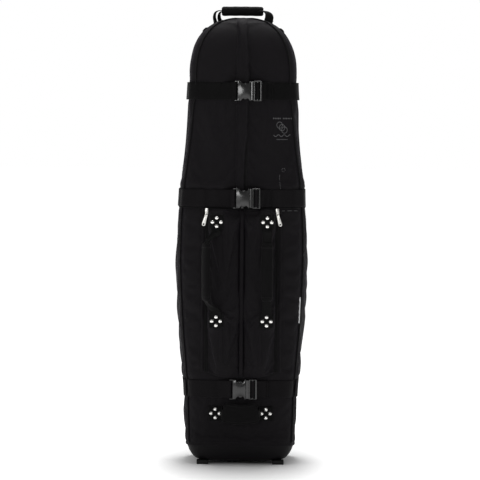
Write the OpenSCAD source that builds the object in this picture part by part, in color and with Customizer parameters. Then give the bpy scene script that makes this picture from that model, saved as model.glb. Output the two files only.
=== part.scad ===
// Soft-sided wheeled travel case for a golf bag, standing upright.
// Frame: millimetres, +Z up, front towards -Y, X across. The origin is under the
// middle of the case, on the floor.

/* [Case] */
// Widest width of the case, level with the shoe pockets
case_w = 370; // [350:1:390]
// Height of the hood's crown above the floor
hood_top = 1278; // [1260:1:1300]
// Thickness of the sewn body panels
panel_t = 4; // [3:0.5:5]
// Thickness of the padded hood
hood_t = 5; // [4:0.5:6]

/* [Shoe pockets] */
// Half width of the pair of pockets, from the middle seam to a zip
pocket_half_w = 96; // [90:1:98]
// How far a pocket's crown stands out of the front panel
pocket_depth = 26; // [20:1:28]

/* [Straps and handles] */
// Width of the compression webbing
webbing_w = 50; // [46:1:52]
// Height of the upper compression strap's middle
top_strap_z = 1069; // [1060:1:1075]
// Height of the middle compression strap's middle
mid_strap_z = 764; // [764:1:770]
// Height of the lower compression strap's middle
low_strap_z = 219; // [215:1:219]
// Distance of each carry handle from the middle of the case
carry_x = 72; // [70:1:72]
// How far the left carry handle leans outwards at rest, in degrees
carry_lean = 60; // [0:5:60]

/* [Wheels] */
// Radius of the wheels
wheel_r = 32; // [31:0.5:32]
// Width of the tyres
wheel_w = 24; // [20:1:24]
// Distance of each wheel from the middle of the case
wheel_x = 100; // [96:1:100]

/* [Hidden] */

LEFT = -1;
RIGHT = 1;
FAR = 400;

fabric_colour = [0.10, 0.10, 0.11];
webbing_colour = [0.06, 0.06, 0.065];
plastic_colour = [0.14, 0.14, 0.15];
metal_colour = [0.80, 0.80, 0.78];
rubber_colour = [0.12, 0.12, 0.12];

// Half width, front depth and back depth of the body at even steps up its height.
boot_bottom = 12;
body_start = 75;
dome_start = 1100;
width_stations = [for (k = [157, 164, 178, 185, 179.5, 162.5, 155]) k / 370 * case_w];
front_stations = [118, 120, 121, 121.5, 121, 112, 103];
back_stations = [163, 163, 163, 163, 163, 160, 150];
boot_round_x = 34;
boot_round_y = 24;
boot_round_power = 1.7;
dome_h = hood_top - dome_start;
dome_power = 2.6;
dome_cap = 88;
front_power = 4.2;
back_power = 7;
ring_n = 48;

boot_top = 60;
hood_split = 738;
hood_plane = -20;
seam_y = 85;
gap = 0.4;
fold = 0.6;

// Heights of the rings that make the walls. Above dome_start they count degrees up the dome.
lower_rows = [boot_top, body_start, 130, 190, 250, 310, 370, 430, 490, 550, 610, 670, hood_split];
hood_rows = [hood_split, 790, 840, 890, 940, 990, 1045, 1075, dome_start,
    for (a = [8, 16, 24, 33, 43, 54, 65, 75, 82, dome_cap]) dome_start + a];
boot_rows = [boot_bottom, 15, 20, 28, 38, 49, boot_top];

cover_off = 10;
cover_t = 1.5;
strap_t = 2;
strap_gap = 0.4;

pocket_top = 733;
pocket_bottom = 250;
pocket_sag = 14;
pocket_t = 3;
pocket_gap = 1;
pocket_seam = 2.5;
zip_x = 101;
zip_half_w = 9;
teeth_half_w = 3;

// Offsets from the skin of what is sewn on it: its back and its front.
tape_lift = [0.3, 1.3];
teeth_lift = [1.4, 3.4];
piping_lift = [0.3, 4];
kick_lift = [0.6, 3];
low_strap_lift = 3.2;

upper_anchor_z = 697;
lower_anchor_z = 415;
anchor_w = 44;
anchor_flat_w = 34;
anchor_t = 2.2;
anchor_y = -154.6;
carry_axis_y = -158;
bottom_handle_x = 72;
bottom_handle_z = 149;
bottom_anchor_y = -121.4;
bottom_axis_y = -125;
knuckle_r = 2.5;

wheel_y = 160;
housing_w = 44;
housing_top = 78;
housing_front = 120;
housing_back = 172;
wheel_pocket_r = wheel_r + 3;
wheel_pocket_w = 28;
axle_r = 4;
bearing_r = 11;
bearing_w = 7;
hub_r = 17;
running = 0.05;

// ---------------------------------------------------------------- the case's skin

function unit(t) = min(1, max(0, t));

function spline(p, u) =
    let (n = len(p) - 1, s = unit(u) * n, i = min(floor(s), n - 1), t = s - i,
         a = p[max(i - 1, 0)], b = p[i], c = p[i + 1], d = p[min(i + 2, n)])
    0.5 * (2 * b + (c - a) * t + (2 * a - 5 * b + 4 * c - d) * t * t
        + (3 * b - a - 3 * c + d) * t * t * t);

function up(z) = (z - body_start) / (dome_start - body_start);

// Share of the boot's rounding at a height: 0 on the straight wall, 1 at its bottom.
function rounding(z) =
    z >= body_start ? 0
    : 1 - pow(1 - pow(unit((body_start - z) / (body_start - boot_bottom)), boot_round_power),
        1 / boot_round_power);

function half_w(z) = spline(width_stations, up(z)) - boot_round_x * rounding(z);
function front_d(z) = spline(front_stations, up(z)) - boot_round_y * rounding(z);
function back_d(z) = spline(back_stations, up(z)) - boot_round_y * rounding(z);

function power(v, p) = sign(v) * pow(abs(v), 2 / p);

// One ring of the skin, moved out by off. v is a height, and above dome_start degrees.
function ring(v, off) =
    let (lift = max(0, v - dome_start), low = min(v, dome_start),
         share = power(cos(lift), dome_power),
         z = low + (lift > 0 ? (dome_h + off) * power(sin(lift), dome_power) : 0))
    [for (i = [0 : ring_n - 1])
        let (a = 360 * i / ring_n, p = sin(a) < 0 ? front_power : back_power,
             depth = sin(a) < 0 ? front_d(low) : back_d(low))
        [(half_w(low) + off) * share * power(cos(a), p),
         (depth + off) * share * power(sin(a), p), z]];

// The front face's y at a place, moved out by off.
function front_y(x, z, off = 0) =
    -(front_d(z) + off) * pow(1 - pow(abs(x) / (half_w(z) + off), front_power), 1 / front_power);

function reversed(list) = [for (i = [len(list) - 1 : -1 : 0]) list[i]];

// A closed solid through a list of rings. A loop joins its last ring to its first.
module loft(rings, loop = false) {
    m = len(rings);
    n = len(rings[0]);
    last = loop ? m - 1 : m - 2;
    walls = [for (i = [0 : last], j = [0 : n - 1], k = [0, 1])
        let (a = i * n + j, b = i * n + (j + 1) % n,
             c = ((i + 1) % m) * n + (j + 1) % n, d = ((i + 1) % m) * n + j)
        k == 0 ? [a, d, c] : [a, c, b]];
    caps = loop ? [] : [[for (j = [0 : n - 1]) j], [for (j = [n - 1 : -1 : 0]) (m - 1) * n + j]];
    polyhedron(points = [for (r = rings) each r], faces = concat(walls, caps));
}

// The lower body's wall, open at both ends, between two offsets from the skin.
module lower_wall(inner, outer) {
    loft([for (v = lower_rows) ring(v, outer), for (v = reversed(lower_rows)) ring(v, inner)],
        loop = true);
}

// The hood's wall, closed over the top.
module hood_wall(inner, outer) {
    loft([for (v = reversed(hood_rows)) ring(v, inner), for (v = hood_rows) ring(v, outer)]);
}

// A band of the skin round the case, as a strap lies on it.
module band(z, height, inner, outer) {
    rows = [z - height / 2, z, z + height / 2];
    loft([for (v = rows) ring(v, outer), for (v = reversed(rows)) ring(v, inner)], loop = true);
}

// Keeps what lies in a box, as one mesh: resize() with zeros leaves the size alone.
module cut(low, high) {
    resize([0, 0, 0]) intersection() {
        children();
        translate(low) cube(high - low);
    }
}

// A sheet over the front: y runs from near(x, z) to deep(x, z) on a grid of x and z.
module front_sheet(xs, zs, near, deep) {
    nx = len(xs);
    nz = len(zs);
    grid = nx * nz;
    points = [
        for (i = [0 : nx - 1], j = [0 : nz - 1])
            let (z = zs[j](xs[i])) [xs[i], near(xs[i], z), z],
        for (i = [0 : nx - 1], j = [0 : nz - 1])
            let (z = zs[j](xs[i])) [xs[i], deep(xs[i], z), z]
    ];
    rim = concat(
        [for (i = [0 : nx - 1]) i * nz],
        [for (j = [1 : nz - 1]) (nx - 1) * nz + j],
        [for (i = [nx - 2 : -1 : 0]) i * nz + nz - 1],
        [for (j = [nz - 2 : -1 : 1]) j]);
    faces = [
        for (i = [0 : nx - 2], j = [0 : nz - 2], k = [0, 1])
            let (a = i * nz + j, b = a + nz, c = b + 1, d = a + 1)
            k == 0 ? [a, d, c] : [a, c, b],
        for (i = [0 : nx - 2], j = [0 : nz - 2], k = [0, 1])
            let (a = grid + i * nz + j, b = a + nz, c = b + 1, d = a + 1)
            k == 0 ? [a, c, d] : [a, b, c],
        for (i = [0 : len(rim) - 1], k = [0, 1])
            let (a = rim[i], b = rim[(i + 1) % len(rim)])
            k == 0 ? [a, b, b + grid] : [a, b + grid, a + grid]
    ];
    polyhedron(points = points, faces = faces);
}

// ---------------------------------------------------------------- base

module wheel_wells() {
    for (side = [LEFT, RIGHT])
        translate([side * wheel_x - housing_w / 2 - gap, housing_front - gap, 0])
            cube([housing_w + 2 * gap, FAR, housing_top + gap]);
}

module base_boot() {
    color(plastic_colour) resize([0, 0, 0]) difference() {
        loft([
            for (v = boot_rows) ring(v, 0),
            for (v = reversed([for (r = boot_rows) if (r >= 15) r])) ring(v, -3)
        ]);
        wheel_wells();
    }
}

module base_board() {
    board = [208, 210, 4];
    board_front = -76;
    linear_extrude(board.z) difference() {
        translate([-board.x / 2, board_front]) square([board.x, board.y]);
        for (side = [LEFT, RIGHT])
            translate([side * wheel_x - housing_w / 2 - 1, housing_front - 1])
                square([housing_w + 2, FAR]);
    }
}

// The base board and the two flat stays that keep the back straight.
module stiffeners() {
    stay = [30, 3.5, 770];
    stay_x = 60;
    stay_low = 84;
    board_low = 15.4;
    color(plastic_colour) {
        translate([0, 0, board_low]) base_board();
        for (side = [LEFT, RIGHT])
            translate([side * stay_x - stay.x / 2, back_stations[0] - panel_t - 2 * stay.y, stay_low])
                cube(stay);
    }
}

module front_feet() {
    foot = [34, 38, boot_bottom];
    foot_x = 108;
    foot_front = -98;
    color(rubber_colour)
        for (side = [LEFT, RIGHT])
            translate([side * foot_x - foot.x / 2, foot_front, 0]) cube(foot);
}

module wheel_housings() {
    color(plastic_colour)
        for (side = [LEFT, RIGHT])
            translate([side * wheel_x, 0, 0]) difference() {
                translate([-housing_w / 2, housing_front, boot_bottom])
                    cube([housing_w, housing_back - housing_front, housing_top - boot_bottom]);
                translate([-wheel_pocket_w / 2, wheel_y, wheel_r]) rotate([0, 90, 0])
                    cylinder(r = wheel_pocket_r, h = wheel_pocket_w, $fn = 96);
                translate([-housing_w, wheel_y, wheel_r]) rotate([0, 90, 0])
                    cylinder(r = axle_r, h = 2 * housing_w, $fn = 48);
                for (end = [-1, 1])
                    translate([end * (housing_w / 2 - 2), wheel_y, wheel_r])
                        rotate([0, 90, 0]) cylinder(r = 7, h = 4 + 2 * gap, center = true, $fn = 48);
            }
}

module axle_bolts() {
    color(metal_colour)
        for (side = [LEFT, RIGHT])
            translate([side * wheel_x, wheel_y, wheel_r]) rotate([0, 90, 0]) union() {
                cylinder(r = axle_r, h = housing_w - 4, center = true, $fn = 48);
                for (end = [-1, 1])
                    translate([0, 0, end * (housing_w / 2 - 2.3)])
                        cylinder(r = 6.5, h = 3.4, center = true, $fn = 48);
            }
}

// ---------------------------------------------------------------- body panels

module front_panel() {
    color(fabric_colour) {
        cut([-FAR, -FAR, boot_top], [FAR, -seam_y, hood_split]) lower_wall(-panel_t, 0);
        for (side = [LEFT, RIGHT])
            translate([side * bottom_handle_x - anchor_w / 2, bottom_anchor_y,
                bottom_handle_z - anchor_w / 2]) cube([anchor_w, anchor_t, anchor_w]);
    }
}

module side_panel(side) {
    low_x = side == LEFT ? -FAR : 0;
    color(fabric_colour)
        cut([low_x, -seam_y, boot_top], [low_x + FAR, seam_y, hood_split])
            lower_wall(-panel_t, 0);
}

module back_panel() {
    color(fabric_colour) resize([0, 0, 0]) difference() {
        intersection() {
            lower_wall(-panel_t, 0);
            translate([-FAR, seam_y, 0]) cube([2 * FAR, FAR, hood_split]);
        }
        wheel_wells();
    }
}

module hood_rear() {
    color(fabric_colour)
        cut([-FAR, hood_plane, hood_split], [FAR, FAR, 2 * hood_top]) hood_wall(-hood_t, 0);
}

module kick_plate() {
    color(plastic_colour)
        cut([-145, 100, 84], [145, FAR, 250]) band(167, 166, kick_lift.x, kick_lift.y);
}

// The corded seams between the front and side panels.
module piping() {
    color(webbing_colour)
        for (side = [LEFT, RIGHT])
            cut([side == LEFT ? -FAR : 0, -seam_y - 2, boot_top],
                [side == LEFT ? 0 : FAR, -seam_y + 2, hood_split])
                lower_wall(piping_lift.x, piping_lift.y);
}

// ---------------------------------------------------------------- zips

function plain(z) = function (x) z;

// A strip on the front, from x0 to x1, between two offsets from the skin.
module front_strip(x0, x1, z0, z1, inner, outer) {
    steps = 10;
    front_sheet([x0, (x0 + x1) / 2, x1], [for (k = [0 : steps]) plain(z0 + (z1 - z0) * k / steps)],
        function (x, z) front_y(x, z, outer), function (x, z) front_y(x, z, inner));
}

module pocket_zips() {
    color(webbing_colour)
        for (side = [LEFT, RIGHT]) {
            inner_x = pocket_half_w + gap;
            outer_x = zip_x + zip_half_w;
            low_z = pocket_bottom + pocket_sag - 2;
            high_z = hood_split - 1;
            front_strip(side == LEFT ? -outer_x : inner_x, side == LEFT ? -inner_x : outer_x,
                low_z, high_z, tape_lift.x, tape_lift.y);
            front_strip(side * zip_x - teeth_half_w, side * zip_x + teeth_half_w,
                low_z + 2, high_z - 2, teeth_lift.x, teeth_lift.y);
        }
}

main_tape_w = 14;

// Half of the main zip: its tape and its row of teeth.
module main_zip(side) {
    color(webbing_colour) {
        cut([side == LEFT ? -main_tape_w : gap, -FAR, hood_split + 2],
            [side == LEFT ? -gap : main_tape_w, hood_plane - 1, FAR * 4])
            hood_wall(tape_lift.x, tape_lift.y);
        cut([side == LEFT ? -teeth_half_w : gap, -FAR, hood_split + 4],
            [side == LEFT ? -gap : teeth_half_w, hood_plane - 1, FAR * 4])
            hood_wall(teeth_lift.x, teeth_lift.y);
    }
}

// The rain flap over the main zip, sewn down along its left edge.
module zip_cover() {
    sewn_x = -19.5;
    free_x = 11;
    edge_w = 2;
    depth = FAR + hood_plane - 1;
    color(fabric_colour) resize([0, 0, 0]) intersection() {
        union() {
            intersection() {
                hood_wall(cover_off, cover_off + cover_t);
                translate([sewn_x + edge_w / 2, -FAR, 0])
                    cube([free_x - sewn_x - edge_w / 2, depth, 4 * FAR]);
            }
            intersection() {
                hood_wall(tape_lift.x, cover_off + cover_t);
                translate([sewn_x, -FAR, 0]) cube([edge_w, depth, 4 * FAR]);
            }
        }
        translate([-FAR, -FAR, hood_split + 2]) cube([2 * FAR, 2 * FAR, hood_top - 6 - hood_split]);
    }
}

slider_size = [8.6, 5, 16];
slider_lift = 5.2;

// A zip slider with the bail that its pull hangs from, on its back face at y = 0.
module slider() {
    bail_r = 3.5;
    union() {
        translate([-slider_size.x / 2, -slider_size.y, 0]) cube(slider_size);
        translate([0, -slider_size.y, 4]) rotate([0, 90, 0]) difference() {
            cylinder(r = bail_r, h = 3, center = true, $fn = 32);
            cylinder(r = bail_r - 1.4, h = 4, center = true, $fn = 32);
        }
    }
}

// A pull tab, hanging from its eye at the origin.
module pull(length) {
    tab = [8, 1.6, length];
    eye = [4.6, 3];
    rim = 1.2;
    hole_r = 2.2;
    hole_z = 5;
    difference() {
        translate([-tab.x / 2, -tab.y / 2, -tab.z]) cube(tab);
        translate([-eye.x / 2, -tab.y, -eye.y]) cube([eye.x, 2 * tab.y, eye.y - rim]);
        translate([0, 0, hole_z - tab.z]) rotate([90, 0, 0])
            cylinder(r = hole_r, h = 4 * tab.y, center = true, $fn = 32);
    }
}

pull_tilt = 15;
pull_eye_y = -slider_size.y - 5.4;
pocket_slider_z = 719;
pocket_slider_y = front_y(zip_x, pocket_slider_z + slider_size.z / 2) - slider_lift;
main_slider_z = 750;
main_slider_t = 2.6;
main_slider_y = front_y(0, main_slider_z + slider_size.z / 2) - 4.9;
main_pull_size = [7, 1.2, 14];
main_pull_y = main_slider_y - main_slider_t - 0.3;
pocket_pull_l = 29;

module pocket_slider(side) {
    color(metal_colour) translate([side * zip_x, pocket_slider_y, pocket_slider_z]) slider();
}

module pocket_pull(side) {
    color(metal_colour)
        translate([side * zip_x, pocket_slider_y + pull_eye_y, pocket_slider_z + 1])
            rotate([0, -side * pull_tilt, 0]) pull(pocket_pull_l);
}

// The main zip's slider is low, because the rain flap and the straps pass over it.
module main_slider() {
    color(plastic_colour)
        translate([-slider_size.x / 2, main_slider_y - main_slider_t, main_slider_z])
            cube([slider_size.x, main_slider_t, slider_size.z]);
}

module main_pull() {
    color(plastic_colour)
        translate([-main_pull_size.x / 2, main_pull_y - main_pull_size.y,
            main_slider_z - main_pull_size.z - 1]) cube(main_pull_size);
}

// ---------------------------------------------------------------- shoe pockets

function pocket_edge(x) = pocket_bottom + pocket_sag * pow(abs(x) / pocket_half_w, 2);

// How far a pocket stands out at a place, from 0 at its edges to 1 on its crown.
function crown(x, z) =
    let (s = unit((abs(x) - pocket_seam) / (pocket_half_w - pocket_seam)),
         low = unit((z - pocket_edge(x)) / 70), high = unit((pocket_top - z) / 34))
    pow(1 - pow(abs(2 * s - 1), 3.5), 0.6) * pow(sin(90 * low), 0.7) * pow(sin(90 * high), 0.7);

// A pocket's outer surface.
function pocket_front(x, z) = front_y(x, z) - pocket_gap - pocket_t - pocket_depth * crown(x, z);

// A handle's anchor patch lies on the pocket at its rim, and rises to a flat middle.
function patch_front(x, z, anchor_z) =
    let (low = pocket_front(x, z) - anchor_t,
         away = max(abs(abs(x) - carry_x), abs(z - anchor_z)),
         rise = unit((anchor_w / 2 - away) / (anchor_w / 2 - anchor_flat_w / 2)))
    low + (anchor_y - low) * rise;

module anchor_patch(side, anchor_z) {
    steps = [for (k = [-1, -anchor_flat_w / anchor_w, -0.5, -0.25, 0, 0.25, 0.5,
        anchor_flat_w / anchor_w, 1]) k * anchor_w / 2];
    front_sheet([for (k = steps) side * carry_x + k], [for (k = steps) plain(anchor_z + k)],
        function (x, z) patch_front(x, z, anchor_z), function (x, z) pocket_front(x, z) + 1);
}

module pocket_panel(side) {
    shares = [0, 0.04, 0.1, 0.2, 0.35, 0.5, 0.65, 0.8, 0.9, 0.96, 1];
    rows = [0, 0.02, 0.05, 0.09, 0.15, 0.3, 0.5, 0.7, 0.88, 0.93, 0.96, 0.985, 1];
    across = [for (s = shares) side * (pocket_seam + s * (pocket_half_w - pocket_seam))];
    color(fabric_colour) {
        front_sheet(side == LEFT ? reversed(across) : across,
            [for (r = rows) function (x) pocket_edge(x) + r * (pocket_top - pocket_edge(x))],
            function (x, z) pocket_front(x, z), function (x, z) pocket_front(x, z) + pocket_t);
        for (z = [upper_anchor_z, lower_anchor_z]) anchor_patch(side, z);
    }
}

module rivet() {
    rotate([90, 0, 0]) {
        cylinder(r = 4.8, h = 1.4, $fn = 32);
        cylinder(r = 3.2, h = 2.1, $fn = 32);
    }
}

// Four rivets in a diamond.
module rivet_diamond() {
    reach = 12;
    for (p = [[reach, 0], [-reach, 0], [0, reach], [0, -reach]])
        translate([p.x, 0, p.y]) rivet();
}

module pocket_rivets(side) {
    color(metal_colour)
        for (z = [upper_anchor_z, lower_anchor_z])
            translate([side * carry_x, anchor_y, z]) rivet_diamond();
}

module bottom_rivets() {
    color(metal_colour)
        for (side = [LEFT, RIGHT])
            translate([side * bottom_handle_x, bottom_anchor_y, bottom_handle_z]) rivet_diamond();
}

// ---------------------------------------------------------------- handles

module stadium(w, t) {
    union() {
        square([w - t, t], center = true);
        for (end = [-1, 1]) translate([end * (w - t) / 2, 0]) circle(d = t, $fn = 40);
    }
}

carry_grip = [30, 16];
left_reach = 34;
right_reach = 26;
carry_grip_z = [474, 638];

function carry_reach(side) = side == LEFT ? left_reach : right_reach;

// Carries a handle drawn at the origin to its anchors, and leans the left one outwards.
module at_carry(side) {
    lean = side == LEFT ? -carry_lean : 0;
    translate([side * carry_x, carry_axis_y, 0]) rotate([0, 0, lean]) children();
}

handle_webbing = [25, 3];

// A webbing leg from each anchor to the grip, gathered at its root round the hinge's axis.
module carry_strap(side) {
    mid_z = (carry_grip_z.x + carry_grip_z.y) / 2;
    root_z = 664 - mid_z;
    knuckle_h = 10.5;
    legs = [[9, root_z], [carry_reach(side) - 6, 637 - mid_z]];
    color(webbing_colour) at_carry(side)
        for (end = [0, 1])
            translate([0, 0, mid_z]) mirror([0, 0, end]) {
                hull()
                    for (p = legs)
                        translate([-handle_webbing.x / 2, -p.x - handle_webbing.y, p.y - 0.5])
                            cube([handle_webbing.x, handle_webbing.y, 1]);
                hull() {
                    translate([-handle_webbing.x / 2, -legs[0].x - handle_webbing.y, root_z - 0.5])
                        cube([handle_webbing.x, handle_webbing.y, 1]);
                    translate([0, 0, root_z - 0.5]) cylinder(r = knuckle_r, h = knuckle_h, $fn = 48);
                }
            }
}

module carry_grip(side) {
    color(rubber_colour) at_carry(side)
        translate([0, -carry_reach(side), carry_grip_z.x + 2])
            linear_extrude(carry_grip_z.y - carry_grip_z.x - 4)
                stadium(carry_grip.x, carry_grip.y);
}

bottom_grip = [92, 14, 46];
bottom_reach = 24;

module bottom_handle_strap() {
    knuckle_x = [48.5, 54.5];
    color(webbing_colour)
        for (end = [0, 1])
            mirror([end, 0, 0]) translate([0, bottom_axis_y, bottom_handle_z]) hull() {
                translate([knuckle_x.x, 0, 0]) rotate([0, 90, 0])
                    cylinder(r = knuckle_r, h = knuckle_x.y - knuckle_x.x, $fn = 48);
                translate([bottom_grip.x / 2 + 1, 1 - bottom_reach, -handle_webbing.x / 2])
                    cube([1, handle_webbing.y, handle_webbing.x]);
            }
}

module bottom_handle_grip() {
    color(rubber_colour)
        translate([-bottom_grip.x / 2, bottom_axis_y - bottom_reach, bottom_handle_z])
            rotate([90, 0, 90]) linear_extrude(bottom_grip.x)
                rotate(90) stadium(bottom_grip.z, bottom_grip.y);
}

top_grip_z = 1298;
top_grip_half = 57;

// Four legs of webbing, two at each end of the grip.
module top_handle_straps() {
    color(webbing_colour)
        for (side = [LEFT, RIGHT], y = [-9, 9])
            let (path = [[58, top_grip_z], [78, top_grip_z - 2], [87, 1287], [84, 1268]])
                for (k = [0 : 2])
                    hull()
                        for (p = [path[k], path[k + 1]])
                            translate([side * p.x - 1.5, y - 7, p.y - 1.5]) cube([3, 14, 3]);
}

module top_handle_grip() {
    color(rubber_colour)
        translate([0, 0, top_grip_z]) rotate([0, 90, 0])
            cylinder(r = 14, h = 2 * top_grip_half - 2, center = true, $fn = 64);
}

// ---------------------------------------------------------------- straps and buckles

buckle_h = 56;
buckle_t = 14;
buckle_end = -30;
buckle_mouth = 16;
tongue_half = 5;

// Distance of each buckle's back from the skin: the upper two clear the rain flap.
function buckle_y(z) = front_y(0, z) - (z == low_strap_z ? 4.5 : 13);

// How far each buckle sits to the right of the middle.
function buckle_x(z) = z == top_strap_z ? 6 : z == mid_strap_z ? 4 : -2;

// Lean of the front face at a height, in degrees, which the buckle lies along.
function buckle_lean(z) = atan((front_y(0, z + 25) - front_y(0, z - 25)) / 50);

module at_buckle(z) {
    translate([buckle_x(z), buckle_y(z), z]) rotate([-buckle_lean(z), 0, 0]) children();
}

// Waisted plate of the female half, in x and z.
module female_outline() {
    notch_r = 14;
    difference() {
        translate([buckle_end, -buckle_h / 2]) square([buckle_mouth - buckle_end, buckle_h]);
        for (end = [-1, 1])
            translate([1, end * (buckle_h / 2 + 5)]) circle(r = notch_r, $fn = 64);
    }
}

module buckle_female(z) {
    wall = 2.5;
    color(plastic_colour) at_buckle(z) difference() {
        rotate([90, 0, 0]) linear_extrude(buckle_t) female_outline();
        translate([-15, -buckle_t + wall, -24]) cube([FAR, buckle_t - 2 * wall, 48]);
        translate([-25.5, -FAR / 2, -25.8]) cube([4.5, FAR, 51.6]);
    }
}

// The male half: guide tongue, body and the frame that the webbing is drawn through.
module buckle_male(z) {
    body = [16.6, 25];
    frame_end = 48;
    frame_h = 58;
    color(plastic_colour) at_buckle(z) union() {
        translate([-9, -8.6, -tongue_half]) cube([body.x + 10, 3.2, 2 * tongue_half]);
        translate([body.x, -buckle_t + 1, -27]) cube([body.y - body.x, buckle_t - 2, 54]);
        difference() {
            translate([body.y - 0.5, -10, -frame_h / 2])
                cube([frame_end - body.y + 0.5, 6, frame_h]);
            for (x = [29, 38.5])
                translate([x, -FAR / 2, -25.8]) cube([4.5, FAR, 51.6]);
        }
    }
    // The free end of the webbing, folded back behind the frame.
    color(webbing_colour) at_buckle(z) hull() {
        translate([44, -3.4, -webbing_w / 2]) cube([1, 2, webbing_w]);
        translate([76, (z == low_strap_z ? -1.5 : 6.8), -webbing_w / 2])
            cube([1, 2, webbing_w]);
    }
}

prong_root = [13.6, 16];

// A springy arm of the male half. end is 1 for the upper arm and -1 for the lower.
module prong(z, end) {
    color(plastic_colour) at_buckle(z) hull()
        for (p = [[prong_root.x, prong_root.y, 2.4], [1, 17.8, 5.8], [-8, 16.5, 2.8]])
            translate([p.x, -4.9, end * p.y]) rotate([90, 0, 0])
                cylinder(r = p.z, h = 4.2, $fn = 32);
}

// A strap's front half from the side to a buckle, in front of the plane y = limit.
module strap_front(z, side, limit) {
    inner_x = side == LEFT ? 62 : 52;
    low_x = side == LEFT ? -FAR : inner_x;
    cut([low_x, -FAR, 0], [low_x + FAR - inner_x, limit, 2 * FAR + hood_top])
        band(z, webbing_w, strap_gap, strap_gap + strap_t);
}

// The ramp that lifts the left half of a strap to its buckle.
module strap_ramp(z) {
    lean = buckle_lean(z);
    hull() {
        translate([-62, front_y(62, z) - strap_gap - 0.1, z])
            rotate([-lean, 0, 0]) translate([0, -strap_t, -webbing_w / 2])
                cube([1, strap_t, webbing_w]);
        at_buckle(z) translate([buckle_end - 1.4, -8, -webbing_w / 2]) cube([1, strap_t, webbing_w]);
    }
}

module flap_straps(side) {
    color(webbing_colour)
        for (z = [top_strap_z, mid_strap_z]) {
            strap_front(z, side, hood_plane - gap);
            if (side == LEFT) strap_ramp(z);
        }
}

// The lower strap runs from its buckle round the back to the male half.
module low_strap() {
    color(webbing_colour) {
        for (side = [LEFT, RIGHT]) strap_front(low_strap_z, side, -seam_y - 3);
        strap_ramp(low_strap_z);
    }
}

// What the three straps have behind the case.
module back_straps() {
    color(webbing_colour) {
        for (z = [top_strap_z, mid_strap_z])
            cut([-FAR, hood_plane, 0], [FAR, FAR, 2 * hood_top])
                band(z, webbing_w, strap_gap, strap_gap + strap_t);
        cut([-FAR, -seam_y + 3, 0], [FAR, FAR, 2 * hood_top])
            band(low_strap_z, webbing_w, low_strap_lift, low_strap_lift + strap_t);
    }
}

// ---------------------------------------------------------------- opening flaps

// One padded half of the hood's front, which swings out on the case's side.
module flap(side) {
    low_x = side == LEFT ? -FAR : gap;
    high_x = side == LEFT ? -gap : FAR;
    color(fabric_colour)
        cut([low_x, -FAR, hood_split + fold], [high_x, hood_plane - gap, 2 * hood_top])
            hood_wall(-hood_t, 0);
}

// ---------------------------------------------------------------- wheels

module ring_part(outer, inner, width) {
    rotate([0, 90, 0]) difference() {
        cylinder(r = outer, h = width, center = true, $fn = 96);
        cylinder(r = inner, h = width + 2, center = true, $fn = 96);
    }
}

module at_wheel(side) {
    translate([side * wheel_x, wheel_y, wheel_r]) children();
}

module wheel_tyre(side) {
    tread = 15;
    shoulder = 4.5;
    color(rubber_colour) at_wheel(side) rotate([0, 90, 0]) rotate_extrude($fn = 96)
        polygon([
            [hub_r, -wheel_w / 2], [wheel_r - shoulder, -wheel_w / 2],
            [wheel_r, -tread / 2], [wheel_r, tread / 2],
            [wheel_r - shoulder, wheel_w / 2], [hub_r, wheel_w / 2]
        ]);
}

module wheel_hub(side) {
    color(plastic_colour) at_wheel(side) ring_part(hub_r, bearing_r, wheel_w - 2);
}

module wheel_bearings(side) {
    color(metal_colour) at_wheel(side)
        for (end = [-1, 1])
            translate([end * (wheel_w / 2 - 1 - bearing_w / 2), 0, 0])
                ring_part(bearing_r, axle_r + running, bearing_w);
}

// ---------------------------------------------------------------- nodes

base_boot();
stiffeners();
front_feet();
wheel_housings();
axle_bolts();
front_panel();
side_panel(LEFT);  // side_panel_left
side_panel(RIGHT);  // side_panel_right
back_panel();
hood_rear();
kick_plate();
piping();
pocket_zips();
back_straps();
low_strap();
buckle_female(low_strap_z);  // low_buckle_female
bottom_rivets();
flap(LEFT);  // flap_left
main_zip(LEFT);  // main_zip_left
zip_cover();
flap_straps(LEFT);  // flap_left_straps
buckle_female(top_strap_z);  // top_buckle_female
buckle_female(mid_strap_z);  // mid_buckle_female
flap(RIGHT);  // flap_right
main_zip(RIGHT);  // main_zip_right
flap_straps(RIGHT);  // flap_right_straps
buckle_male(top_strap_z);  // top_buckle_male
prong(top_strap_z, 1);  // top_prong_upper
prong(top_strap_z, -1);  // top_prong_lower
buckle_male(mid_strap_z);  // mid_buckle_male
prong(mid_strap_z, 1);  // mid_prong_upper
prong(mid_strap_z, -1);  // mid_prong_lower
buckle_male(low_strap_z);  // low_buckle_male
prong(low_strap_z, 1);  // low_prong_upper
prong(low_strap_z, -1);  // low_prong_lower
main_slider();
main_pull();
pocket_slider(LEFT);  // pocket_slider_left
pocket_pull(LEFT);  // pocket_pull_left
pocket_slider(RIGHT);  // pocket_slider_right
pocket_pull(RIGHT);  // pocket_pull_right
pocket_panel(LEFT);  // pocket_panel_left
pocket_rivets(LEFT);  // pocket_rivets_left
pocket_panel(RIGHT);  // pocket_panel_right
pocket_rivets(RIGHT);  // pocket_rivets_right
carry_strap(LEFT);  // carry_strap_left
carry_grip(LEFT);  // carry_grip_left
carry_strap(RIGHT);  // carry_strap_right
carry_grip(RIGHT);  // carry_grip_right
bottom_handle_strap();
bottom_handle_grip();
top_handle_straps();
top_handle_grip();
wheel_tyre(LEFT);  // wheel_tyre_left
wheel_hub(LEFT);  // wheel_hub_left
wheel_bearings(LEFT);  // wheel_bearings_left
wheel_tyre(RIGHT);  // wheel_tyre_right
wheel_hub(RIGHT);  // wheel_hub_right
wheel_bearings(RIGHT);  // wheel_bearings_right
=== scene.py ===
"""A soft-sided golf travel case: sewn shells, straps, buckles, zips, handles and wheels on the CAD frame."""
import math

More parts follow.
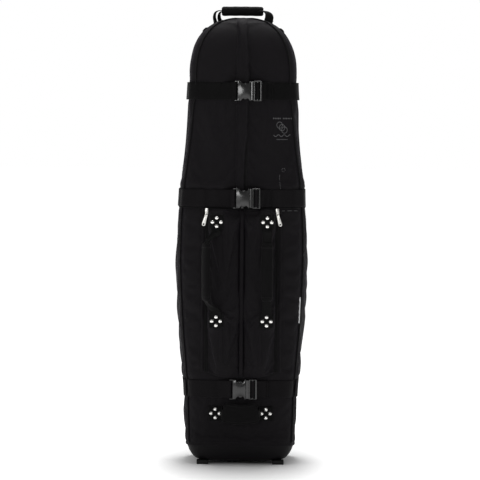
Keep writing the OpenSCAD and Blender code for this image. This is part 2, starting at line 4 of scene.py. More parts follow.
import bmesh
import bpy
import numpy as np
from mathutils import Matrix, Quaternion, Vector, noise
from mathutils.bvhtree import BVHTree


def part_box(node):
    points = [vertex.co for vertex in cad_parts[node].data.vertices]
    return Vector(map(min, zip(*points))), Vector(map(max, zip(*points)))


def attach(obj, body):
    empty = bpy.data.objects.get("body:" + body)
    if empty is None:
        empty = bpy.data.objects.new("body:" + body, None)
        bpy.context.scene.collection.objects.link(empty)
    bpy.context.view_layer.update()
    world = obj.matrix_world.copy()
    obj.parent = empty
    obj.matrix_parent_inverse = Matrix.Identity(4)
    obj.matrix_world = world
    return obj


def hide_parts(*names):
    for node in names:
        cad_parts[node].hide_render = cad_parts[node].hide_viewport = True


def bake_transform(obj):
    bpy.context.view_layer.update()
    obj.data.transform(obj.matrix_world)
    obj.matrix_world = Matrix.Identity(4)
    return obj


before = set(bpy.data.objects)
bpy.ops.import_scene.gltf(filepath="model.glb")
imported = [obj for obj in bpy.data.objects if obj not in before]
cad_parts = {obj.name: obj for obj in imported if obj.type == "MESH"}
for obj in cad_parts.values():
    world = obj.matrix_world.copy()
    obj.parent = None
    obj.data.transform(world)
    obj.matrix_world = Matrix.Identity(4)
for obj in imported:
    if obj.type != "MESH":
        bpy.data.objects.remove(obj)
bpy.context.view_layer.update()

MM = 0.001
LEFT, RIGHT = -1, 1
SIDES = {"left": LEFT, "right": RIGHT}

# The body's skin in millimetres, by the CAD model's own rule.
BOOT_BOTTOM, BODY_START, DOME_START, HOOD_TOP = 12, 75, 1100, 1278
WIDTHS = (157, 164, 178, 185, 179.5, 162.5, 155)
FRONTS = (118, 120, 121, 121.5, 121, 112, 103)
BACKS = (163, 163, 163, 163, 163, 160, 150)
DOME_POWER, BOOT_POWER = 2.6, 1.7
FRONT_POWER, BACK_POWER = 4.2, 7
# How far the boot's rounding draws its bottom in, to the sides and from front to back.
TUCK_X, TUCK_Y = 34, 24
BOOT_TOP, HOOD_SPLIT, HOOD_PLANE, SEAM_Y = 60, 738, -20, 85

WEBBING = 50
STRAPS = {"top": 1069, "mid": 764, "low": 219}
BUCKLE_X = {"top": 6, "mid": 4, "low": -2}
# The rod that holds each strap's left half, in its buckle's own millimetres.
ROD_X = -27.75
# How each strap's free end slants as it leaves the buckle.
TAIL_TILT = {"top": 0.05, "mid": 0.16, "low": -0.22}
# How far each strap stands off the case's sides.
SLACK = {"top": 4.2, "mid": 1.0, "low": 0.0}
POCKET_TOP, POCKET_BOTTOM, POCKET_SAG = 733, 250, 14
POCKET_SEAM, POCKET_HALF = 2.5, 96
ZIP_X = 101
# Where a small webbing loop is sewn on each shoulder.
SHOULDER_Z = 1243
ANCHOR_X, UPPER_ANCHOR_Z, LOWER_ANCHOR_Z = 72, 697, 415
BOTTOM_HANDLE_Z = 149
WHEEL_CENTRE = (100, 160, 32)
CARRY_AXIS_Y = -158

scene = bpy.context.scene
COLLECTION = scene.collection


# ---------------------------------------------------------------- shape of the skin

def spline(values, share):
    """A smooth curve through evenly spaced values, at a share from 0 to 1 of its length."""
    n = len(values) - 1
    s = min(max(share, 0), 1) * n
    i = min(int(s), n - 1)
    t = s - i
    a, b, c, d = values[max(i - 1, 0)], values[i], values[i + 1], values[min(i + 2, n)]
    curved = 2 * a - 5 * b + 4 * c - d
    return 0.5 * (2 * b + (c - a) * t + curved * t * t + (3 * b - a - 3 * c + d) * t ** 3)


def up(z):
    """A height's share of the way from the boot to the dome."""
    return (z - BODY_START) / (DOME_START - BODY_START)


def rounding(z):
    """Share of the boot's rounding at a height: 0 on the straight wall, 1 at its bottom."""
    if z >= BODY_START:
        return 0
    depth = (BODY_START - z) / (BODY_START - BOOT_BOTTOM)
    return 1 - (1 - min(depth, 1) ** BOOT_POWER) ** (1 / BOOT_POWER)


def half_width(z):
    return spline(WIDTHS, up(z)) - TUCK_X * rounding(z)


def front_depth(z):
    return spline(FRONTS, up(z)) - TUCK_Y * rounding(z)


def back_depth(z):
    return spline(BACKS, up(z)) - TUCK_Y * rounding(z)


def front_y(x, z):
    """The plain front face's y in millimetres."""
    low = min(z, DOME_START)
    return -front_depth(low) * (1 - (abs(x) / half_width(low)) ** FRONT_POWER) ** (1 / FRONT_POWER)


def half_ring(z, share):
    """The right half of a level ring, from the front's middle to the back's, as a dense line."""
    low = min(z, DOME_START)
    angle = np.radians(np.linspace(-90, 90, 1441))
    power = np.where(angle < 0, FRONT_POWER, BACK_POWER)
    depth = np.where(angle < 0, front_depth(low), back_depth(low))
    x = half_width(low) * share * np.abs(np.cos(angle)) ** (2 / power)
    y = depth * share * np.sign(angle) * np.abs(np.sin(angle)) ** (2 / power)
    x[0] = x[-1] = 0
    return x, y


# Columns of the body's grid, from the front's middle to the back's: front face, front
# corner, side and back, parted by the sewn seams.
SECTORS = (22, 8, 13, 30)
FRONT_SEAM, HINGE, REAR_SEAM, BACK_MIDDLE = map(int, np.cumsum(SECTORS))
COLUMNS = 2 * BACK_MIDDLE
CROWN_SHARE = -HOOD_PLANE / FRONTS[-1]


def summed(steps):
    return np.concatenate([[0], np.cumsum(steps)])


def run_of(path):
    """The length along a line up to each of its points."""
    return summed(np.linalg.norm(np.diff(path, axis=0), axis=1))


def at_run(at, run, values):
    """Points or directions given at each length of run, at other lengths."""
    return np.stack([np.interp(at, run, column) for column in np.transpose(values)], -1)


def body_ring(z, share):
    """One row of the body's grid: its points, and each one's length round from the front's middle."""
    x, y = half_ring(z, share)
    length = summed(np.hypot(np.diff(x), np.diff(y)))
    if share > CROWN_SHARE:
        lift = (share - CROWN_SHARE) / (1 - CROWN_SHARE)
        keys = [HOOD_PLANE - (SEAM_Y + HOOD_PLANE) * lift, HOOD_PLANE, SEAM_Y * share]
    else:
        keys = [y[0], y[0], SEAM_Y * share]
    stops = [0, *np.interp(keys, y, length), length[-1]]
    at = [0.0]
    for count, start, end in zip(SECTORS, stops, stops[1:]):
        at.extend(np.linspace(start, end, count + 1)[1:])
    at = np.array(at)
    right = np.column_stack([np.interp(at, length, x), np.interp(at, length, y), np.full(len(at), z)])
    left = right[-2:0:-1] * (-1, 1, 1)
    return np.vstack([right, left]), np.concatenate([at, -at[-2:0:-1]])


def dome_height(share):
    return DOME_START + (HOOD_TOP - DOME_START) * (1 - share ** DOME_POWER) ** (1 / DOME_POWER)


def body_levels():
    """(height, share) of each row, about 8 mm apart, and the rows where the hood and its crown start."""
    lower = np.linspace(BOOT_TOP, HOOD_SPLIT, 86)
    hood = np.linspace(HOOD_SPLIT, DOME_START, 46)[1:]
    levels = [(z, 1.0) for z in (*lower, *hood)]
    shares = np.linspace(1, CROWN_SHARE, 400)
    heights = np.array([dome_height(s) for s in shares])
    length = summed(np.hypot(np.diff(shares) * WIDTHS[-1], np.diff(heights)))
    for at in np.linspace(0, length[-1], 34)[1:]:
        share = float(np.interp(at, length, shares))
        levels.append((dome_height(share), share))
    crown = len(levels) - 1
    for share in np.linspace(CROWN_SHARE, 0.03, 5)[1:]:
        levels.append((dome_height(share), float(share)))
    return levels, len(lower) - 1, crown


# ---------------------------------------------------------------- meshes

def linked(name, data):
    """A new object in the scene."""
    obj = bpy.data.objects.new(name, data)
    COLLECTION.objects.link(obj)
    return obj


def new_object(name, points, faces, uvs=None):
    """A mesh object in metres. uvs, if any, gives one pair a point."""
    mesh = bpy.data.meshes.new(name)
    mesh.from_pydata([tuple(p) for p in points], [], [tuple(f) for f in faces])
    if uvs is not None:
        layer = mesh.uv_layers.new(name="UVMap")
        corners = np.empty(len(mesh.loops), int)
        mesh.loops.foreach_get("vertex_index", corners)
        layer.data.foreach_set("uv", np.asarray(uvs, float)[corners].ravel())
    mesh.shade_smooth()
    return linked(name, mesh)


def grid_faces(rows, cols, loop=False):
    across = cols if loop else cols - 1
    return [(r * cols + c, r * cols + (c + 1) % cols, (r + 1) * cols + (c + 1) % cols, (r + 1) * cols + c)
            for r in range(rows - 1) for c in range(across)]


def grid_object(name, points, uvs, caps=()):
    rows, cols = points.shape[:2]
    return new_object(name, points.reshape(-1, 3), grid_faces(rows, cols) + list(caps), uvs.reshape(-1, 2))


def modify(obj, kind, **values):
    modifier = obj.modifiers.new(kind.lower(), kind)
    for key, value in values.items():
        setattr(modifier, key, value)
    return modifier


def apply_modifiers(obj):
    graph = bpy.context.evaluated_depsgraph_get()
    graph.update()
    seen = obj.evaluated_get(graph)
    mesh = bpy.data.meshes.new_from_object(seen, preserve_all_data_layers=True, depsgraph=graph)
    obj.modifiers.clear()
    obj.data = mesh
    mesh.shade_smooth()
    return obj


def unit(v):
    v = np.asarray(v, float)
    return v / np.maximum(np.linalg.norm(v, axis=-1, keepdims=True), 1e-12)


def thicken(obj, thick, lined=False):
    """Gives a sheet its thickness, in millimetres, behind its face. A lining is its second material."""
    modify(obj, "SOLIDIFY", thickness=thick * MM, offset=-1, material_offset=int(lined))
    modify(obj, "SUBSURF", levels=1, render_levels=1)
    return apply_modifiers(obj)


def even(path, across):
    """A strap's line with points 5 mm apart, and its across directions at them."""
    run = run_of(path)
    at = np.linspace(0, run[-1], max(int(run[-1] / (5 * MM)), 2) + 1)
    return at_run(at, run, path), unit(at_run(at, run, across))


def resample(path, step):
    """The same line with points an even step apart."""
    run = run_of(path)
    return at_run(np.linspace(0, run[-1], max(int(round(run[-1] / step)), 2) + 1), run, path)


def curve(points, step=4 * MM):
    """A smooth line through a few points."""
    points = np.asarray(points, float)
    n = len(points) - 1
    dense = [[spline(points[:, k], s / (n * 24)) for k in range(3)] for s in range(n * 24 + 1)]
    return resample(dense, step)


def tangents(path):
    return unit(np.gradient(path, axis=0))


def sweep(name, path, side, outline, caps=True):
    """A solid drawn along path. outline gives its (across, out) pairs, and side its across direction."""
    path = np.asarray(path, float)
    side = np.broadcast_to(np.asarray(side, float), path.shape)
    along = tangents(path)
    side = unit(side - along * np.sum(side * along, axis=1, keepdims=True))
    out = np.cross(side, along)
    outline = np.asarray(outline, float)
    if outline.ndim == 2:
        outline = np.broadcast_to(outline, (len(path), *outline.shape))
    points = path[:, None] + outline[..., :1] * side[:, None] + outline[..., 1:] * out[:, None]
    n, m = points.shape[:2]
    uvs = np.stack([np.broadcast_to(run_of(path)[:, None], (n, m)), outline[..., 0]], axis=-1)
    faces = grid_faces(n, m, loop=True)
    if caps:
        faces += [tuple(range(m))[::-1], tuple((n - 1) * m + k for k in range(m))]
    obj = new_object(name, points.reshape(-1, 3), faces, uvs.reshape(-1, 2))
    face_outward(obj)
    return obj


def face_outward(obj):
    mesh = bmesh.new()
    mesh.from_mesh(obj.data)
    bmesh.ops.recalc_face_normals(mesh, faces=mesh.faces)
    mesh.to_mesh(obj.data)
    mesh.free()


def strip_outline(width, thick, across=6):
    """A flat band's cross-section with rounded edges."""
    flat = width / 2 - thick / 2
    ends = np.radians(np.linspace(-90, 90, 5))
    right = [(flat + thick / 2 * math.cos(a), thick / 2 * math.sin(a)) for a in ends]
    left = [(-x, -y) for x, y in right]
    top = [(flat - 2 * flat * k / across, thick / 2) for k in range(1, across)]
    bottom = [(-x, -y) for x, y in top]
    return [*right, *top, *left, *bottom]


def round_outline(width, thick, power, count=28):
    """A cross-section from an ellipse, at power 2, to a rounded box."""
    angles = np.linspace(0, 2 * math.pi, count, endpoint=False)
    x = width / 2 * np.sign(np.cos(angles)) * np.abs(np.cos(angles)) ** (2 / power)
    y = thick / 2 * np.sign(np.sin(angles)) * np.abs(np.sin(angles)) ** (2 / power)
    return np.column_stack([x, y])


def cord(name, path, radius, side=(0, 0, 1)):
    return sweep(name, path, side, round_outline(2 * radius, 2 * radius, 2, 10))


class Bits:
    """Many small solids gathered into one mesh."""

    def __init__(self):
        self.points, self.faces = [], []

    def add(self, points, faces):
        start = len(self.points)
        self.points.extend(points)
        self.faces.extend(tuple(start + k for k in f) for f in faces)

    def lathe(self, profile, origin, axis, count=28, caps=True):
        """Turns (radius, height) pairs, in millimetres, about axis through origin."""
        axis = Vector(axis).normalized()
        side = axis.orthogonal().normalized()
        other = axis.cross(side)
        points = []
        for radius, height in profile:
            for k in range(count):
                a = 2 * math.pi * k / count
                spoke = side * math.cos(a) + other * math.sin(a)
                points.append(Vector(origin) + spoke * (radius * MM) + axis * (height * MM))
        faces = grid_faces(len(profile), count, loop=True)
        if caps:
            last = (len(profile) - 1) * count
            faces += [tuple(range(count))[::-1], tuple(last + k for k in range(count))]
        self.add(points, faces)

    def bead(self, centre, along, out, length, width, height):
        """A stitch: a short eight-sided grain of thread lying along a seam."""
        side = np.cross(along, out)
        ring = [(-0.5, 0, 0), (-0.25, 0.5, 0.2), (-0.25, 0, 1), (-0.25, -0.5, 0.2),
                (0.25, 0.5, 0.2), (0.25, 0, 1), (0.25, -0.5, 0.2), (0.5, 0, 0)]
        points = [np.asarray(centre) + a * length * along + b * width * side + c * height * out
                  for a, b, c in ring]
        self.add(points, [(0, 2, 1), (0, 3, 2), (1, 2, 5, 4), (2, 3, 6, 5), (4, 5, 7), (5, 6, 7)])

    def seam(self, path, out, pitch=4.6 * MM, length=3.6 * MM):
        """A row of stitches along a line. out is the surface's normal at each of its points."""
        path = np.asarray(path, float)
        out = np.broadcast_to(np.asarray(out, float), path.shape)
        run = run_of(path)
        for at in np.arange(pitch / 2, run[-1], pitch):
            i = max(min(int(np.searchsorted(run, at)) - 1, len(path) - 2), 0)
            step = path[i + 1] - path[i]
            centre = path[i] + (at - run[i]) / max(run[i + 1] - run[i], 1e-9) * step
            self.bead(centre, unit(step), unit(out[i]), length, 0.9 * MM, 0.55 * MM)

    def object(self, name):
        return new_object(name, self.points, self.faces)


def outline_plate(name, outer, holes, low, high, bevel, place):
    """A plate with rounded edges: closed outlines in x and z, from y = low to y = high."""
    data = bpy.data.curves.new(name, "CURVE")
    data.dimensions = "2D"
    data.fill_mode = "BOTH"
    data.extrude = (high - low) / 2 - bevel
    data.bevel_depth = bevel
    data.bevel_resolution = 2
    data.offset = -bevel
    for loop in (outer, *holes):
        line = data.splines.new("POLY")
        line.points.add(len(loop) - 1)
        for point, (x, z) in zip(line.points, loop):
            point.co = (x, z, 0, 1)
        line.use_cyclic_u = True
    source = linked(name + "_curve", data)
    graph = bpy.context.evaluated_depsgraph_get()
    mesh = bpy.data.meshes.new_from_object(source.evaluated_get(graph))
    bpy.data.objects.remove(source)
    points = np.array([v.co for v in mesh.vertices]).reshape(-1, 3)
    points = np.column_stack([points[:, 0], (low + high) / 2 - points[:, 2], points[:, 1]])
    obj = new_object(name, place(points), [tuple(p.vertices) for p in mesh.polygons])
    bpy.data.meshes.remove(mesh)
    return mark_sharp(obj)


def mark_sharp(obj, degrees=40):
    """Keeps shading flat across corners sharper than this."""
    mesh = bmesh.new()
    mesh.from_mesh(obj.data)
    bmesh.ops.remove_doubles(mesh, verts=mesh.verts, dist=1e-6)
    bmesh.ops.recalc_face_normals(mesh, faces=mesh.faces)
    for edge in mesh.edges:
        edge.smooth = len(edge.link_faces) == 2 and edge.calc_face_angle(0) < math.radians(degrees)
    mesh.to_mesh(obj.data)
    mesh.free()
    return obj


def arc(centre, radius, start, end, count=10):
    """Points of a circular arc, in x and z, from start to end degrees."""
    angles = np.radians(np.linspace(start, end, count))
    return [(centre[0] + radius * math.cos(a), centre[1] + radius * math.sin(a)) for a in angles]


def rounded_box(x0, x1, z0, z1, radius):
    """A box's outline with rounded corners."""
    left, right, low, high = x0 + radius, x1 - radius, z0 + radius, z1 - radius
    corners = ((right, high), (left, high), (left, low), (right, low))
    return [point for k, corner in enumerate(corners) for point in arc(corner, radius, 90 * k, 90 * (k + 1))]


def rounded_copy(node, name, width):
    """A CAD node's own shape with its edges rounded by width, in millimetres."""
    mesh = bmesh.new()
    mesh.from_mesh(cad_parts[node].data)
    bmesh.ops.remove_doubles(mesh, verts=mesh.verts, dist=1e-6)
    bmesh.ops.dissolve_limit(mesh, angle_limit=math.radians(2), verts=mesh.verts, edges=mesh.edges)
    data = bpy.data.meshes.new(name)
    mesh.to_mesh(data)
    mesh.free()
    obj = linked(name, data)
    modify(obj, "BEVEL", width=width * MM, segments=3, limit_method="ANGLE", angle_limit=math.radians(35))
    apply_modifiers(obj)
    return mark_sharp(obj, 50)


def joined(name, objects):
    """One mesh made of several."""
    mesh = bmesh.new()
    for obj in objects:
        mesh.from_mesh(obj.data)
        bpy.data.objects.remove(obj)
    data = bpy.data.meshes.new(name)
    mesh.to_mesh(data)
    mesh.free()
    return linked(name, data)


# ---------------------------------------------------------------- materials

MATERIALS = {}


class Shader:
    """A Principled material built from nodes, kept under its name."""

    def __init__(self, name, colour, roughness, **constants):
        self.material = MATERIALS[name] = bpy.data.materials.new(name)
        self.material.use_nodes = True
        self.tree = self.material.node_tree
        self.surface = self.tree.nodes["Principled BSDF"]
        self.surface.inputs["Base Color"].default_value = (*colour, 1)
        self.surface.inputs["Roughness"].default_value = roughness
        for key, value in constants.items():
            socket = self.surface.inputs[key.replace("_", " ")]
            socket.default_value = (*value, 1) if isinstance(value, tuple) else value

    def node(self, kind, **values):
        made = self.tree.nodes.new(kind)
        for key, value in values.items():
            if hasattr(made, key):
                setattr(made, key, value)
            else:
                self.feed(made.inputs[key.replace("_", " ")], value)
        return made

    def feed(self, socket, value):
        if isinstance(value, bpy.types.NodeSocket):
            self.tree.links.new(value, socket)
        else:
            socket.default_value = value

    def math(self, operation, a, b=0.0, c=0.0):
        made = self.tree.nodes.new("ShaderNodeMath")
        made.operation = operation
        for socket, value in zip(made.inputs, (a, b, c)):
            self.feed(socket, value)
        return made.outputs[0]

    def place(self):
        """Coordinates in the object's own metres."""
        return self.tree.nodes.new("ShaderNodeTexCoord").outputs["Object"]

    def weave(self):
        """Lengths along and across the cloth, from the UV map's metres."""
        uv = self.tree.nodes.new("ShaderNodeTexCoord").outputs["UV"]
        return self.node("ShaderNodeSeparateXYZ", Vector=uv).outputs[:2]

    def mixed(self, *parts):
        """The sum of some (value, weight) pairs."""
        products = [self.math("MULTIPLY", value, weight) for value, weight in parts]
        total = products.pop()
        while products:
            total = self.math("ADD", products.pop(), total)
        return total

    def noise(self, vector, scale, detail=3.0, roughness=0.55):
        made = self.node("ShaderNodeTexNoise", Vector=vector, Scale=scale, Detail=detail, Roughness=roughness)
        return made.outputs["Fac"]

    def ranged(self, value, low, high, start=0.0, end=1.0):
        made = self.tree.nodes.new("ShaderNodeMapRange")
        for socket, number in zip(made.inputs, (value, start, end, low, high)):
            self.feed(socket, number)
        return made.outputs[0]

    def wave(self, value, period):
        """A sine of the given period, from 0 to 1."""
        sine = self.math("SINE", self.math("MULTIPLY", value, 2 * math.pi / period))
        return self.math("MULTIPLY_ADD", sine, 0.5, 0.5)

    def colours(self, factor, dark, light):
        made = self.tree.nodes.new("ShaderNodeMix")
        made.data_type = "RGBA"
        self.feed(made.inputs[0], factor)
        self.feed(made.inputs[6], (*dark, 1))
        self.feed(made.inputs[7], (*light, 1))
        self.tree.links.new(made.outputs[2], self.surface.inputs["Base Color"])

    def rough(self, factor, low, high):
        self.tree.links.new(self.ranged(factor, low, high), self.surface.inputs["Roughness"])

    def bump(self, *layers):
        """Each layer is (height, strength, distance in metres)."""
        normal = None
        for height, strength, distance in layers:
            made = self.node("ShaderNodeBump", Height=height, Strength=strength, Distance=distance)
            if normal is not None:
                self.tree.links.new(normal, made.inputs["Normal"])
            normal = made.outputs["Normal"]
        self.tree.links.new(normal, self.surface.inputs["Normal"])


def woven(name, dark, light, pitch, relief=0.35, cast=None, gloss=0.09):
    """Plain weave of yarn at the given pitch, with creases and fibres."""
    s = Shader(name, dark, 0.8, Sheen_Weight=0.025, Sheen_Roughness=0.4, Specular_IOR_Level=gloss)
    if cast is not None:
        s.surface.inputs["Sheen Tint"].default_value = (*cast, 1)
    u, v = s.weave()
    place = s.place()
    slub = s.math("MULTIPLY", s.math("SUBTRACT", s.noise(place, 700, 2), 0.5), pitch * 0.8)
    u, v = s.math("ADD", u, slub), s.math("SUBTRACT", v, slub)
    turns = [s.math("SUBTRACT", s.wave(way, 2 * pitch), 0.5) for way in (u, v)]
    over = s.math("GREATER_THAN", s.math("MULTIPLY", *turns), 0.0)
    height = s.mixed((s.wave(u, pitch), over), (s.wave(v, pitch), s.math("SUBTRACT", 1.0, over)))
    fibre = s.noise(place, 2600, 2)
    # The colour follows the weave's height: its hollows are painted darker, a painted shade between the
    # yarns; the large noise and the fibres are random tone.
    s.colours(s.mixed((height, 0.45), (s.noise(place, 5, 3), 0.35), (fibre, 0.25)), dark, light)
    s.rough(s.noise(place, 60, 4), 0.6, 0.78)
    creases = s.noise(place, 55, 5, 0.6)
    s.bump((creases, 0.25, 2.5 * MM), (height, relief, 0.35 * MM), (fibre, 0.15, 0.12 * MM))


def ribbed(name, dark, light):
    """Heavy webbing: cords along it, with a fine crosswise tick."""
    s = Shader(name, dark, 0.6, Sheen_Weight=0.03, Sheen_Roughness=0.35, Specular_IOR_Level=0.06)
    u, v = s.weave()
    place = s.place()
    chevron = s.math("MULTIPLY", s.math("ABSOLUTE", s.math("SUBTRACT", s.wave(v, 12.5 * MM), 0.5)), 3 * MM)
    tick = s.wave(s.math("ADD", u, chevron), 1.7 * MM)
    height = s.mixed((s.wave(v, 2.5 * MM), 0.6), (tick, 0.4))
    fuzz = s.noise(place, 1800, 2)
    # The colour follows the height of the cords and ticks: their hollows are painted darker, a painted shade;
    # the fuzz and the large noise are random tone.
    s.colours(s.mixed((height, 0.5), (fuzz, 0.3), (s.noise(place, 14, 3), 0.25)), dark, light)
    s.rough(s.noise(place, 90, 3), 0.5, 0.68)
    s.bump((height, 0.5, 0.5 * MM), (fuzz, 0.2, 0.12 * MM))


def twisted(name, dark, light, **constants):
    """Sewing thread: tight plies and a little fluff."""
    s = Shader(name, dark, 0.7, Specular_IOR_Level=0.2, **constants)
    place = s.place()
    ply, fluff = s.noise(place, 1400, 2), s.noise(place, 240, 3)
    s.colours(s.mixed((ply, 0.6), (fluff, 0.4)), dark, light)
    s.rough(fluff, 0.6, 0.78)
    s.bump((ply, 0.3, 0.1 * MM))


def moulded(name, dark, light, rough, grain=900, relief=0.12, wear=0.5, **constants):
    """Moulded plastic or rubber: a fine grain, soft scuffs, and edges rubbed a little lighter."""
    s = Shader(name, dark, rough[0], **constants)
    place = s.place()
    fine, scuff = s.noise(place, grain, 2), s.noise(place, 45, 6, 0.7)
    edge = s.ranged(s.node("ShaderNodeNewGeometry").outputs["Pointiness"], 0, 1, 0.51, 0.6)
    tone = s.mixed((scuff, 0.35), (edge, wear))
    s.colours(tone, dark, light)
    s.rough(scuff, *rough)
    s.bump((fine, relief, 0.15 * MM), (scuff, 0.06, 0.4 * MM))


def plated(name, colour, dull, rough):
    """Plated metal with fine scratches and a slight tarnish."""
    s = Shader(name, colour, rough[0], Metallic=1.0)
    place = s.place()
    stretched = s.node("ShaderNodeMapping", Vector=place, Scale=(1, 1, 9)).outputs[0]
    scratches = s.noise(stretched, 500, 3)
    s.colours(s.noise(place, 120, 5, 0.65), colour, dull)
    s.rough(scratches, *rough)
    s.bump((scratches, 0.08, 0.08 * MM))


def grey(*tones):
    return [(tone,) * 3 for tone in tones]


# Each has its darkest and lightest colour, and then what sets its kind apart.
woven("body_fabric", (0.0024, 0.0020, 0.0025), (0.0086, 0.0074, 0.0088), 0.75 * MM, cast=(0.85, 0.75, 1.0))
woven("lining", (0.02, 0.02, 0.022), (0.045, 0.045, 0.048), 0.5 * MM, relief=0.2)
ribbed("webbing", (0.0010, 0.0010, 0.0010), (0.0046, 0.0044, 0.0046))
# A lighter copy of the webbing, for the mid and low straps.
ribbed("lighter_webbing", (0.0022, 0.0019, 0.0022), (0.0080, 0.0070, 0.0080))
woven("handle_wrap", (0.0013, 0.0012, 0.0013), (0.0052, 0.0048, 0.0052), 0.5 * MM, relief=0.3, gloss=0.07)
woven("zip_tape", (0.0026, 0.0024, 0.0026), (0.0095, 0.009, 0.0095), 0.6 * MM, relief=0.4)
woven("piping_cord", (0.002, 0.0018, 0.002), (0.008, 0.0075, 0.008), 0.5 * MM)
twisted("thread", (0.006, 0.0055, 0.0065), (0.013, 0.012, 0.0135))
twisted("pale_thread", (0.06, 0.06, 0.062), (0.12, 0.12, 0.124), Sheen_Weight=0.3)
woven("label", (0.45, 0.45, 0.46), (0.72, 0.72, 0.73), 0.4 * MM, gloss=0.3)
moulded("boot_plastic", (0.0028, 0.0024, 0.0029), (0.0105, 0.0092, 0.0107), (0.5, 0.68),
        Specular_IOR_Level=0.12)
moulded("stiffener_board", *grey(0.02, 0.05), (0.5, 0.7))
moulded("buckle_plastic", *grey(0.003, 0.012), (0.13, 0.26), 1500, 0.05, 0.35, Specular_IOR_Level=0.62)
moulded("feet_rubber", *grey(0.004, 0.014), (0.6, 0.8), relief=0.2, Specular_IOR_Level=0.2)
moulded("tyre_rubber", *grey(0.006, 0.02), (0.5, 0.75), relief=0.2, Specular_IOR_Level=0.25)
moulded("hub_plastic", (0.006, 0.006, 0.006), (0.025, 0.025, 0.026), (0.35, 0.5))
plated("steel", (0.56, 0.56, 0.57), (0.4, 0.4, 0.4), (0.25, 0.4))
moulded("dark_metal", *grey(0.008, 0.04), (0.25, 0.4), Metallic=0.6)
plated("satin_metal", (0.74, 0.73, 0.70), (0.5, 0.49, 0.47), (0.22, 0.4))
plated("bright_metal", (0.93, 0.92, 0.90), (0.78, 0.77, 0.74), (0.14, 0.3))


# ---------------------------------------------------------------- pieces

# How far a hinge line leans inward for each millimetre up.
HINGE_TILT = 25.5 / 362


def dress(obj, slot, replaces=(), material=None, padded=None, lined=False):
    """Gives a piece its material, named by material or else by slot, and a lining as its second material if
    lined, and hides the CAD nodes it replaces.
    """
    obj.data.materials.clear()
    obj.data.materials.append(MATERIALS[material or slot])
    if lined:
        obj.data.materials.append(MATERIALS["lining"])
    if replaces:
        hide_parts(*replaces)


def piece(obj, body, slot, *details, **more):
    """A piece that rides one body."""
    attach(obj, body)
    dress(obj, slot, *details, **more)


def flap_piece(obj, side, slot, *details, **more):
    """A piece of a flap, with its place baked into its mesh."""
    across = np.array([-side, -1, 0.0])
    line = np.array([-side * HINGE_TILT, 0, 1])
    across = unit(across - line * np.dot(across, line) / np.dot(line, line))
    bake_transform(obj)
    dress(obj, slot, *details, **more)


def pocket_piece(obj, name, slot, *details, **more):
    """A piece of a pocket, with its place baked into its mesh."""
    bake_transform(obj)
    dress(obj, slot, *details, **more)


def sewn(thread, name, body, slot="body_fabric", material="thread"):
    """Gathered stitches as one piece."""
    piece(thread.object(name), body, slot, material=material)


def cad_piece(node, name, rounding_width, body, slot, material=None):
    """A piece with a CAD node's own shape, its edges rounded."""
    piece(rounded_copy(node, name, rounding_width), body, slot, [node], material)


# ---------------------------------------------------------------- cloth

def drape(obj, pins, frames, gravity, slack, pressure, bending):
    """Runs Cloth on obj with some points held, and returns where its points end."""
    group = obj.vertex_groups.new(name="held")
    for i, weight in enumerate(pins):
        if weight > 0:
            group.add([i], float(weight), "REPLACE")
    cloth = obj.modifiers.new("cloth", "CLOTH")
    values = {"vertex_group_mass": "held", "quality": 5, "mass": 0.35, "tension_stiffness": 12,
              "compression_stiffness": 12, "shear_stiffness": 6, "bending_stiffness": bending,
              "tension_damping": 8, "compression_damping": 8, "shear_damping": 8, "pin_stiffness": 8,
              "air_damping": 2, "shrink_min": -slack, "use_pressure": True,
              "uniform_pressure_force": pressure}
    for key, value in values.items():
        setattr(cloth.settings, key, value)
    cloth.settings.effector_weights.gravity = gravity
    cloth.collision_settings.use_collision = False
    cloth.point_cache.frame_end = frames
    for frame_number in range(1, frames + 1):
        scene.frame_set(frame_number)
    graph = bpy.context.evaluated_depsgraph_get()
    made = obj.evaluated_get(graph).data
    points = np.empty(len(made.vertices) * 3)
    made.vertices.foreach_get("co", points)
    scene.frame_set(1)
    bpy.data.objects.remove(obj)
    return points.reshape(-1, 3)


def limited(points, start, reach):
    """Points moved no further than reach from where they started."""
    move = points - start
    size = np.linalg.norm(move, axis=-1, keepdims=True)
    return start + move * np.minimum(1, reach / np.maximum(size, 1e-9))


def near(value, centre, reach):
    """1 at the centre, fading smoothly to 0 at reach."""
    t = np.clip(1 - np.abs(value - centre) / reach, 0, 1)
    return t * t * (3 - 2 * t)


def ripple(points, scale, seed):
    """Smooth noise from -1 to 1 at each point."""
    shift = Vector((seed * 7.3, seed * 3.1, seed * 5.7))
    found = [noise.noise(Vector(p) / scale + shift) for p in points.reshape(-1, 3)]
    return np.array(found).reshape(points.shape[:-1])


def outward(points):
    """The outward normals of a grid whose rows run round the body."""
    along = np.roll(points, -1, axis=1) - np.roll(points, 1, axis=1)
    rise = np.gradient(points, axis=0)
    return unit(np.cross(along, rise))


# How far each strap draws the walls in.
CINCH = {"top": 3.0, "mid": 3.5, "low": 4.0}


